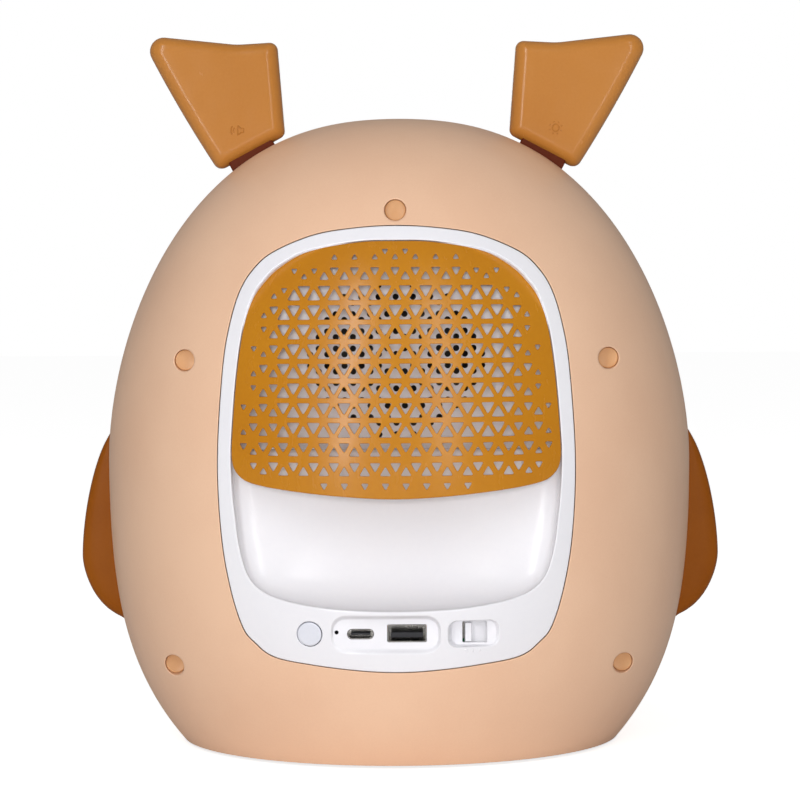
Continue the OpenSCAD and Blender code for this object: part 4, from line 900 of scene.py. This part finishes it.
# Grille
def room(x, z):
    """Distances from a cell to the grille's side, to its top edge and to its bottom edge, along X and Z."""
    form = np.asarray(GRILLE_FORM, float)
    mid, half = (GRILLE_TOP + GRILLE_BOTTOM) / 2, (GRILLE_TOP - GRILLE_BOTTOM) / 2
    beside_cell = GRILLE_W / 2 * np.interp((z - mid) / half, form[::-1, 1], form[::-1, 0]) - np.abs(x)
    share = np.abs(x) / (GRILLE_W / 2)
    upper, lower = form[:GRILLE_WIDEST + 1], form[GRILLE_WIDEST + 1:][::-1]
    above = mid + half * np.interp(share, upper[:, 0], upper[:, 1]) - z
    below = z - mid - half * np.interp(share, lower[:, 0], lower[:, 1])
    return beside_cell, above, below


def triangle_cells():
    """Middles, sides and directions of the triangles, in rows whose cells point up and down by turns.

    HOLE_ROWS gives each row's last column of large, of middle-sized and of small triangles. From LOW_ROW
    down there are no large ones, and the others are larger by LOW_EXTRA.
    """
    row, col = np.meshgrid(np.arange(len(HOLE_ROWS)), np.arange(-16, 17), indexing="ij")
    up = (row + col + 1) % 2
    x = col * CELL_W / 2
    z = GRILLE_TOP - ROWS_DROP - CELL_H * (row + np.where(up > 0, 2 / 3, 1 / 3))
    kinds = np.moveaxis(np.abs(col)[..., None] <= HOLE_ROWS[row], -1, 0)
    extra = np.where(row >= LOW_ROW, LOW_EXTRA, 0.0)
    s = np.select(list(kinds), [np.full(row.shape, HOLE_LARGE), HOLE_MIDDLE + extra, HOLE_SMALL + extra], 0.0)
    beside_cell, above, below = room(x, z)
    keep = (s > 0) & (beside_cell > ROOM_BESIDE) & (above > ROOM_ABOVE) & (below > ROOM_BELOW)
    return np.stack([x[keep], z[keep]], 1), s[keep], np.where(up[keep] > 0, 1.0, -1.0)


def triangle_loops(grow):
    """Round-cornered triangles, grown all round: three arcs of ARC_POINTS points each."""
    middles, s, way = triangle_cells()
    turn = math.pi / 2 + np.arange(3) * 2 * math.pi / 3
    fan = np.linspace(-math.pi / 3, math.pi / 3, ARC_POINTS)
    corner = (s / math.sqrt(3) - 2 * HOLE_BEND)[:, None, None] * np.stack([np.cos(turn), np.sin(turn)], 1)
    arc = turn[:, None] + fan[None]
    spoke = np.stack([np.cos(arc), np.sin(arc)], 2)
    loops = corner[:, :, None] + (HOLE_BEND + grow) * spoke
    loops = loops.reshape(len(s), 3 * ARC_POINTS, 2) * way[:, None, None]
    return loops + middles[:, None]


def hole_rims(wide, near):
    """Rings round all triangles at once: a quadratic curve from wide by near into the hole, then the bores.

    Returns the rings, each with every triangle's points, and the triangles between one ring and the next.
    """
    a, e = on_rear(wide.reshape(-1, 2)), on_rear(near.reshape(-1, 2))
    b = e + BACKWARDS * HOLE_LIP
    rings = [(1 - t) ** 2 * a + 2 * t * (1 - t) * e + t * t * b for t in (0.0, 0.3, 0.5, 0.7, 1.0)]
    rings += [e + BACKWARDS * GRILLE_T, a + BACKWARDS * GRILLE_T]
    count, corners, step = len(wide), wide.shape[1], len(a)
    start = np.arange(len(rings) - 1)[:, None, None] * step + np.arange(count)[:, None] * corners
    here, there = start + np.arange(corners), start + (np.arange(corners) + 1) % corners
    faces = np.concatenate([np.stack([here, there, there + step], 3).reshape(-1, 3),
                            np.stack([here, there + step, here + step], 3).reshape(-1, 3)])
    return rings, faces


def build_grille():
    """The caramel grille: a curved plate with rounded rims round its edge and round every triangle."""
    grille = Moulding()
    edge = on_rear(outline(GRILLE_FORM, GRILLE_W, GRILLE_TOP, GRILLE_BOTTOM, 0, 1.4))
    rim = rolled(edge, body_normals(edge), GRILLE_ROLL, BACKWARDS, hole=False)
    rim += [edge + BACKWARDS * GRILLE_T, rim[0] + BACKWARDS * GRILLE_T]
    grille.strip(rim, normals=first_normals(rim))
    wide = triangle_loops(HOLE_LIP)
    rings, faces = hole_rims(wide, triangle_loops(0.0))
    grille.add(np.concatenate(rings), faces, np.concatenate(first_normals(rings)))
    flat, faces = filled([rim[0][:, [0, 2]]] + list(wide), 2.2)
    points = on_rear(flat)
    points[:len(rim[0])] = rim[0]
    grille.add(points, faces, body_normals(points))
    grille.add(points + BACKWARDS * GRILLE_T, faces, -body_normals(points))
    return solid("grille_plate", grille, "housing", FINISHES["caramel_gloss"], ["rear_grille"])


# Fasteners and controls
PLUG_PROFILE = [(0.0, 0.25), (0.6, 0.2), (0.8, 0.05), (0.87, 0.0), (0.93, 0.05), (0.98, 0.25), (1.0, 0.6),
                (1.0, PLUG_T), (0.0, PLUG_T)]
BUTTON_CROWN = [(0.0, 0.0), (0.5, 0.0), (0.85, 0.0), (0.93, 0.04), (0.98, 0.16), (1.0, 0.4)]
BUTTON_STEM = [(BUTTON_R, 0.0), (BUTTON_R + 1, 0.0), (BUTTON_R + 1, 1.4), (1.5, 1.4), (1.5, 3.0), (0.0, 3.0)]


def build_plugs():
    """Plugs down in the screw wells: discs with a rounded rim and a shallow dish."""
    plugs = Moulding()
    for x, z in WELLS:
        face_y = float(well_circle(x, z, n=12)[:, 1].min()) - PLUG_DEPTH
        plugs.strip([at_y(circle(x, z, share * (WELL_R - 0.05), 40), face_y - drop)
                     for share, drop in PLUG_PROFILE])
    return solid("screw_plug_caps", plugs, "housing", FINISHES["plug_caramel"], ["screw_plugs"])


def build_button():
    """The power button: a disc whose face stands BUTTON_RISE off the body, on a flange and a stem."""
    button = Moulding()
    crown = [on_rear(circle(BUTTON_X, CONTROL_Z, BUTTON_R * share, 48)) + FORWARDS * (BUTTON_RISE - drop)
             for share, drop in BUTTON_CROWN]
    back_y = float(rear_y(BUTTON_X, CONTROL_Z)) - BUTTON_T
    stem = [at_y(circle(BUTTON_X, CONTROL_Z, r, 48), back_y - drop) for r, drop in BUTTON_STEM]
    button.strip(crown + stem)
    return solid("power_button_cap", button, "power_button", FINISHES["grey_white_plastic"], ["power_button"])


def block(moulding, middle, size, y0, y1, round_edge, corner):
    """A block with round corners and rolled rims at both ends: rings that widen, rise along Y and narrow."""
    x, z = middle
    w, h = size
    rings = []
    for end, way, turns in ((y0, 1, (0, math.pi / 2)), (y1, -1, (math.pi / 2, 0))):
        for e in np.linspace(*turns, 5):
            inset = round_edge * (1 - math.sin(e))
            flat = round_rect(x, z, w - 2 * inset, h - 2 * inset, max(corner - inset, 0.02), 5, 4)
            rings.append(at_y(flat, end + way * round_edge * (1 - math.cos(e))))
    moulding.strip(rings)
    moulding.cap(rings[0])
    moulding.cap(rings[-1])


def build_mode_knob():
    """The mode switch's knob: a rib to push, on a plate behind the slot that reaches to one side."""
    knob = Moulding()
    knob_y = SWITCH_Y - 2.7
    block(knob, (MODE_X, CONTROL_Z + 0.2), (MODE_RIB_W, 6.4), knob_y - 0.5, SWITCH_Y + 0.6, 0.22, 0.3)
    block(knob, (MODE_X - 2.65, CONTROL_Z + 0.45), (7.9, 8.7), knob_y - 1.5, knob_y, 0.15, 0.3)
    return solid("mode_knob_cap", knob, "mode_knob", FINISHES["white_gloss"], ["mode_knob"])


def socket_shell(name, shape, depth, back, nodes):
    """A folded steel socket shell: outer wall, a rolled mouth, inner wall and a closed back."""
    shell = Moulding()
    x, z, w, h, r = shape
    lip = SOCKET_WALL / 2

    def ring(inset, y):
        return at_y(round_rect(x, z, w - 2 * inset, h - 2 * inset, r - inset, 8, 5), y)

    rings = [ring(0.0, PORT_Y - depth), ring(0.0, PORT_Y - lip)]
    for e in np.linspace(0, math.pi, 7)[1:-1]:
        rings.append(ring(lip * (1 - math.cos(e)), PORT_Y - lip + lip * math.sin(e)))
    rings += [ring(SOCKET_WALL, PORT_Y - lip), ring(SOCKET_WALL, PORT_Y - depth + back)]
    shell.strip(rings)
    shell.cap(rings[0])
    shell.cap(rings[-1])
    return solid(name, shell, "housing", FINISHES["socket_steel"], nodes)


def socket_blade(name, middle, size, deep, shallow, round_edge, corner, nodes):
    """The tongue inside a socket, from one depth under the port floor to another."""
    blade = Moulding()
    block(blade, middle, size, PORT_Y - deep, PORT_Y - shallow, round_edge, corner)
    return solid(name, blade, "housing", FINISHES["black_plastic"], nodes)


def build_sockets():
    """The two sockets' shells and tongues, in their standard sizes."""
    socket_shell("usb_a_mouth", (*USB_A, 0.45), 14.0, 1.2, ["usb_a_shell"])
    socket_shell("usb_c_mouth", (*USB_C, 1.6), 7.3, 0.8, ["usb_c_shell"])
    socket_blade("usb_a_blade", (USB_A[0], USB_A[1] - 0.7), (11.0, 1.8), 12.8, 1.4, 0.15, 0.2,
                 ["usb_a_tongue"])
    socket_blade("usb_c_blade", USB_C[:2], (6.7, 0.7), 6.5, 0.9, 0.1, 0.3, ["usb_c_tongue"])


def ridge(moulding, path, width, height, closed, base):
    """A raised line: a half ellipse carried along a path and closed below; open ends narrow to a point.

    base takes places on the flat and lifts over the ground, and gives points in space.
    """
    path = np.asarray(path, float)
    along = np.roll(path, -1, 0) - np.roll(path, 1, 0) if closed else np.gradient(path, axis=0)
    along /= np.linalg.norm(along, axis=1, keepdims=True)
    side = np.stack([-along[:, 1], along[:, 0]], 1)
    full = np.ones(len(path))
    if not closed:
        full[[0, -1]] = 0.0
    a = np.linspace(0, math.pi, 7)
    across, up = np.cos(a) * width / 2, np.sin(a) * height
    over = [base(path + side * (w * full)[:, None], h * full) for w, h in zip(across, up)]
    first, last = (base(path + side * (w * full)[:, None], np.full(len(path), -0.1)) for w in across[[-1, 0]])
    moulding.strip([first, *over[::-1], last, first], closed=closed)


def build_marks():
    """Three small raised marks under the mode switch: a ring, a bar and a dot."""
    marks = Moulding()

    def base(flat, lift):
        return on_rear(flat) + FORWARDS * lift[:, None]

    ridge(marks, circle(-23.8, MARK_Z, 0.5, 14), 0.34, 0.2, True, base)
    bar = np.stack([np.full(7, -26.0), MARK_Z + np.linspace(-0.6, 0.6, 7)], 1)
    ridge(marks, bar, 0.4, 0.2, False, base)
    ridge(marks, circle(-28.2, MARK_Z, 0.22, 10), 0.44, 0.2, True, base)
    return solid("mode_marks", marks, "housing", FINISHES["white_gloss"], [])


# Ears
def ear_form(inset):
    """The ear's outline, in its own frame: corners rounded by arcs, and an outer side with a slight bow."""
    along = np.roll(EAR_CORNERS, -1, 0) - EAR_CORNERS
    along /= np.linalg.norm(along, axis=1)[:, None]
    out = np.stack([along[:, 1], -along[:, 0]], 1)
    before = np.roll(out, 1, 0)
    cosine = (before * out).sum(1)
    corners = EAR_CORNERS - inset * (before + out) / (1 + cosine)[:, None]
    radii = np.maximum(EAR_RADII - inset * EAR_DENTS, 0.8)
    half_turn = np.arccos(np.clip(cosine, -1, 1)) / 2
    cut = radii * np.tan(half_turn)
    t = np.linspace(0, 1, 19)[:, None]
    parts = []
    for k in range(len(corners)):
        after = (k + 1) % len(corners)
        dent, r = EAR_DENTS[after], radii[after]
        a, b = corners[k] + along[k] * cut[k], corners[after] - along[k] * cut[after]
        bow = EAR_BOW * max(1 - inset / 30, 0) if k == EAR_BOWED_SIDE else 0.0
        parts.append(a + t * (b - a) + bow * 4 * t * (1 - t) * out[k])
        turn = np.linspace(-1, 1, 11)[1:-1, None] * half_turn[after]
        middle = (out[k] + out[after]) / np.linalg.norm(out[k] + out[after])
        side = np.array([-middle[1], middle[0]]) * dent
        centre = corners[after] - dent * middle * r / math.cos(half_turn[after])
        parts.append(centre + dent * r * (np.cos(turn) * middle + np.sin(turn) * side))
    return np.vstack(parts)


def in_ear(flat, w):
    """Places across and up the ear, and a distance behind its middle plane, as points of the ear's frame."""
    return np.stack([flat[:, 0], np.broadcast_to(w, len(flat)), flat[:, 1]], 1)


def ear_half(side, word, back, half_word, grow, edge_t, material):
    """Half an ear: a flat face that rolls over to its edge in a quarter ellipse and ends at the middle plane.

    The edge is edge_t thick and lies outside the ear's outline by grow.
    """
    outer, core = ear_form(-grow), ear_form(EAR_BEND)
    if back < 0:
        outer[:, 1] = np.maximum(outer[:, 1], EAR_FRONT_LOW)
    half = Moulding()
    rings = []
    for e in np.linspace(0, math.pi / 2, 12):
        depth = EAR_HALF_T - (EAR_HALF_T - edge_t) * (1 - math.cos(e))
        rings.append(in_ear(core + (outer - core) * math.sin(e), back * depth))
    rings.append(rings[-1] * [1, 0, 1])
    half.strip(rings)
    for ring in (rings[0], rings[-1]):
        centre = EAR_MIDDLE + ring[0] * [0, 1, 0]
        half.strip([centre + (ring - centre) * share for share in (1.0, 0.75, 0.5, 0.25, 0.0)])
    if back > 0:
        for path, width, closed in ear_icon(side):
            ridge(half, path, width, 0.36, closed, lambda flat, lift: in_ear(flat, EAR_HALF_T + lift))
    points, faces, normals = half.merged()
    return piece(f"ear_{half_word}_{word}_half", from_ear(points, side), faces, normals, f"ear_{word}",
                 FINISHES[material], [f"ear_{half_word}_{word}"])


def ear_icon(side):
    """Raised signs on the ears: a small loudspeaker with sound arcs, and a sun with eight rays.

    Each line is a path, a width and whether the path is closed.
    """
    if side > 0:
        x, turn = 0.4, EAR_LEAN
        horn = np.array([[-2.3, -0.7], [-1.4, -0.7], [-0.1, -1.9], [-0.1, 1.9], [-1.4, 0.7], [-2.3, 0.7]])
        lines = [(even_steps(horn, 0.35, closed=True), 0.4, True)]
        a = np.linspace(-0.85, 0.85, 11)
        for r in (1.2, 2.2):
            lines.append((np.stack([0.3 + r * np.cos(a), r * np.sin(a)], 1), 0.4, False))
    else:
        x, turn = 0.0, 0.0
        lines = [(circle(0, 0, 1.25, 22), 0.46, True)]
        for a in np.arange(8) * math.pi / 4:
            ray = np.linspace(2.05, 2.6, 5)[:, None] * np.array([math.cos(a), math.sin(a)])
            lines.append((ray, 0.56, False))
    c, s = math.cos(turn), math.sin(turn)
    turned = np.array([[c, s], [-s, c]])
    return [(line @ turned + [x, EAR_SIGN_V], width, closed) for line, width, closed in lines]


def neck_collar(side, word):
    """The neck's top from inside the dome's slot to just inside the ear, round at its corners; its dark brown
    is painted shade.
    """
    rim = round_rect(0, 0, NECK_W + COLLAR_EASE, NECK_T + COLLAR_EASE, 1.0)
    profile = [(0.0, COLLAR_LOW), (1.0, COLLAR_LOW), (1.0, COLLAR_TOP), (0.0, COLLAR_TOP)]
    rings = [np.hstack([rim * share, np.full((len(rim), 1), height)]) for share, height in profile]
    collar = Moulding()
    collar.strip(rings)
    points, faces, normals = collar.merged()
    # the dark brown finish paints the shade under the ear onto the neck
    return piece(f"ear_neck_{word}", from_ear(points, side), faces, normals, f"ear_{word}",
                 FINISHES["dark_brown_plastic"], [])


def build_ears():
    """Both ears: caramel rear halves with their signs, pale front halves that show as a rim, and necks in
    dark brown that paints the shade under the ears.
    """
    for side, word in ((1, "left"), (-1, "right")):
        ear_half(side, word, 1, "rear", 0.0, 1.2, "caramel_plastic")
        ear_half(side, word, -1, "front", EAR_RIM, 0.3, "cream_plastic")
        neck_collar(side, word)


# Wings
def wing_reach(z):
    """How far the wing stands from the middle at height z: the tip of a superellipse."""
    up = np.clip(np.where(z > WING_MID, (z - WING_MID) / WING_RISE, (WING_MID - z) / WING_DROP), 0, 1)
    return BODY_R - WING_ROOT + (WING_OUT + WING_ROOT) * (1 - up ** WING_POWER) ** (1 / WING_POWER)


def wing_outline():
    """The wing seen from the side, in Y and Z: three corners, each cut round by a quadratic curve."""
    points = []
    for k, corner in enumerate(WING_CORNERS):
        back, on = WING_CORNERS[k - 1] - corner, WING_CORNERS[(k + 1) % 3] - corner
        back, on = back / np.linalg.norm(back), on / np.linalg.norm(on)
        cut = WING_RADII[k] / math.tan(math.acos(back @ on) / 2)
        start, end = corner + back * cut, corner + on * cut
        t = np.linspace(0, 1, 12)[:, None]
        points.append((1 - t) ** 2 * start + 2 * t * (1 - t) * corner + t ** 2 * end)
    return even_steps(np.vstack(points), 2.2, closed=True)


def build_wing(side, word):
    """A wing: rings that shrink from its outline to its middle and rise as the cube root of 1 - share^20."""
    wing = Moulding()
    edge = wing_outline()

    def ring(share, height):
        y, z = (WING_MIDDLE + (edge - WING_MIDDLE) * share).T
        ground = np.sqrt(np.clip(radius(z) ** 2 - y ** 2, 0, None)) + WING_SEAT
        rise = np.clip(np.sqrt(wing_reach(z) ** 2 - y ** 2) - ground, 0.4, None)
        return np.stack([side * (ground + rise * height), y, z], 1)

    outer = [ring(share, max(1 - share ** 20, 0) ** (1 / 3))
             for share in np.cos(np.linspace(0, math.pi / 2, 44)) ** 0.4]
    inner = [ring(share, 0.0) for share in np.linspace(0, 1, 12)]
    wing.strip(outer + inner)
    return solid(f"wing_{word}_cover", wing, "housing", FINISHES["brown_plastic"], [f"wing_{word}"], 60.0)


# Face and feet
def build_face():
    """The light-up face's plate on the far side: the body's own surface, with a rolled rim."""
    plate = Moulding()
    edge = on_front(face_outline(0.0))
    rim = rolled(edge, body_normals(edge), FACE_ROLL, FORWARDS, hole=False)
    rim.append(rim[-1] + FORWARDS * 1.8)
    plate.strip(rim, normals=first_normals(rim))
    flat, faces = filled([to_map(rim[0], -1)], SKIN_STEP)
    points = from_map(flat, -1)
    points[:len(rim[0])] = rim[0]
    plate.add(points, faces, body_normals(points))
    return walled("face_plate_cover", plate, 2.0, "housing", FINISHES["cream_plastic"], ["face_plate"])


def build_beak():
    """The beak: a round-cornered triangle whose rings shrink and rise as the root of 1 - share^3."""
    beak = Moulding()
    corners = np.array([[0, -9.0], [10.0, 6.0], [-10.0, 6.0]])
    line = even_steps(curved(even_steps(corners, 4.0, True), 6, True), 0.9, closed=True) + [0, BEAK_Z]
    line = beside(line, -0.6)
    middle = np.array([0, BEAK_Z + 0.6])
    front = [on_front(middle + (line - middle) * share, BEAK_OUT * math.sqrt(max(1 - share ** 3, 0)) - 0.1)
             for share in np.cos(np.linspace(0, math.pi / 2, 16)) ** 0.7]
    back, back_middle = (on_front(middle + (line - middle) * share, -BEAK_SEAT) for share in (1.0, 0.0))
    beak.strip([back, *front, back_middle, back])
    return solid("beak_cover", beak, "housing", FINISHES["cream_plastic"], [])


LENS_PROFILE = [(0, 0.9), (5, 0.88), (9, 0.82), (11.4, 0.72), (12.4, 0.5), (12.85, 0.06), (0, 0.06)]


def build_eyes():
    """Eye rings with a rolled section, and lenses that crown towards their middles."""
    rings_form, lenses = Moulding(), Moulding()
    a = np.linspace(0, math.pi, 9)
    mid, half = (EYE_R + LENS_R) / 2, (EYE_R - LENS_R) / 2 - 0.05
    section = list(zip(mid + half * np.cos(a), EYE_RING_RISE * np.sin(a) ** 0.7 + 0.05))
    for x in (-EYE_X, EYE_X):
        rings_form.strip([on_front(circle(x, EYE_Z, r, 72), lift) for r, lift in section + section[:1]])
        lenses.strip([on_front(circle(x, EYE_Z, r, 56), lift) for r, lift in LENS_PROFILE])
    solid("eye_ring_covers", rings_form, "housing", FINISHES["caramel_gloss"], ["eye_rings"])
    solid("eye_lens_covers", lenses, "housing", FINISHES["lens_brown"], ["eye_lenses"])


def build_feet():
    """Four rubber feet: discs with a rounded lower rim and a shallow dish underneath."""
    _, high = (np.array(corner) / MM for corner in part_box("rubber_feet"))
    reach, foot_h = float(high[0]), float(high[2])
    profile = [(0, 0.12), (4.6, 0.12), (5.0, 0.0), (6.2, 0.0), (6.7, 0.15), (FOOT_R, 0.6), (FOOT_R, foot_h),
               (0, foot_h)]
    feet = Moulding()
    for turn in np.arange(4) * math.pi / 2:
        x, y = (reach - FOOT_R) * math.cos(turn), (reach - FOOT_R) * math.sin(turn)
        feet.strip([np.hstack([circle(x, y, r, 40), np.full((40, 1), z)]) for r, z in profile])
    return solid("foot_pads", feet, "housing", FINISHES["rubber"], ["rubber_feet"])


# Studio
# The world as a light, and the floor's grey, its glow for the camera and its reach
WORLD_LIGHT, FLOOR_GREY, FLOOR_GLOW, FLOOR_REACH = 0.28, 0.86, 0.74, 8
LIT_POINT = Vector((0, 0, 0.13))


def strip_light(name, azimuth, distance, height, width, tall, power):
    """A soft light that stands at an azimuth in degrees, in metres, and faces the object's middle."""
    data = bpy.data.lights.new(name, "AREA")
    data.shape = "RECTANGLE"
    data.size, data.size_y, data.energy = width, tall, power
    light = bpy.data.objects.new(name, data)
    a = math.radians(azimuth)
    place = Vector((distance * math.sin(a), distance * math.cos(a), height))
    light.location = place
    light.rotation_euler = (LIT_POINT - place).to_track_quat("-Z", "Y").to_euler()
    bpy.context.collection.objects.link(light)
    return light


def white_world():
    """White to the camera and through clear things, and dimmer as a light on the object."""
    world = bpy.data.worlds.new("studio")
    bpy.context.scene.world = world
    world.use_nodes = True
    tree = world.node_tree
    ray = put(tree, "ShaderNodeLightPath")
    seen = put(tree, "ShaderNodeMath", {"operation": "MAXIMUM"},
               {0: ray.outputs["Is Camera Ray"], 1: ray.outputs["Is Transmission Ray"]})
    level = put(tree, "ShaderNodeMapRange",
                inputs={"Value": seen.outputs[0], "To Min": WORLD_LIGHT, "To Max": 1.0})
    tree.links.new(level.outputs[0], tree.nodes["Background"].inputs["Strength"])
    tree.nodes["Background"].inputs["Color"].default_value = (1, 1, 1, 1)


def white_floor():
    """A pale floor that keeps the object's shadow and glows for the camera only."""
    mesh = bpy.data.meshes.new("floor")
    far = FLOOR_REACH
    mesh.from_pydata([(-far, -far, 0), (far, -far, 0), (far, far, 0), (-far, far, 0)], [], [(0, 1, 2, 3)])
    floor = bpy.data.objects.new("floor", mesh)
    bpy.context.collection.objects.link(floor)
    material = bpy.data.materials.new("studio_floor")
    material.use_nodes = True
    tree = material.node_tree
    tree.nodes.remove(tree.nodes["Principled BSDF"])
    diffuse = put(tree, "ShaderNodeBsdfDiffuse", inputs={"Color": (FLOOR_GREY, FLOOR_GREY, FLOOR_GREY, 1)})
    ray = put(tree, "ShaderNodeLightPath")
    seen = put(tree, "ShaderNodeMath", {"operation": "MULTIPLY"},
               {0: ray.outputs["Is Camera Ray"], 1: FLOOR_GLOW})
    glow = put(tree, "ShaderNodeEmission", inputs={"Color": (1, 1, 1, 1), "Strength": seen.outputs[0]})
    both = put(tree, "ShaderNodeAddShader", inputs={0: diffuse.outputs[0], 1: glow.outputs[0]})
    tree.links.new(both.outputs[0], tree.nodes["Material Output"].inputs["Surface"])
    mesh.materials.append(material)


def studio():
    """White world and floor, two tall strips behind the camera, and a panel that leaves no reflection."""
    white_world()
    strip_light("left_strip", 20.0, 1.7, 0.85, 0.16, 1.7, 9.5)
    strip_light("right_strip", -17.8, 1.7, 0.85, 0.14, 1.7, 4.8)
    strip_light("front_panel", 0.5, 2.6, 0.3, 0.4, 0.4, 29.0).visible_glossy = False
    white_floor()


build_rear_shell()
build_front_shell()
build_rear_panel()
build_grille()
build_plugs()
build_button()
build_mode_knob()
build_sockets()
build_marks()
build_ears()
build_wing(1, "left")
build_wing(-1, "right")
build_face()
build_beak()
build_eyes()
build_feet()
studio()
bpy.context.scene.view_settings.view_transform = "Standard"
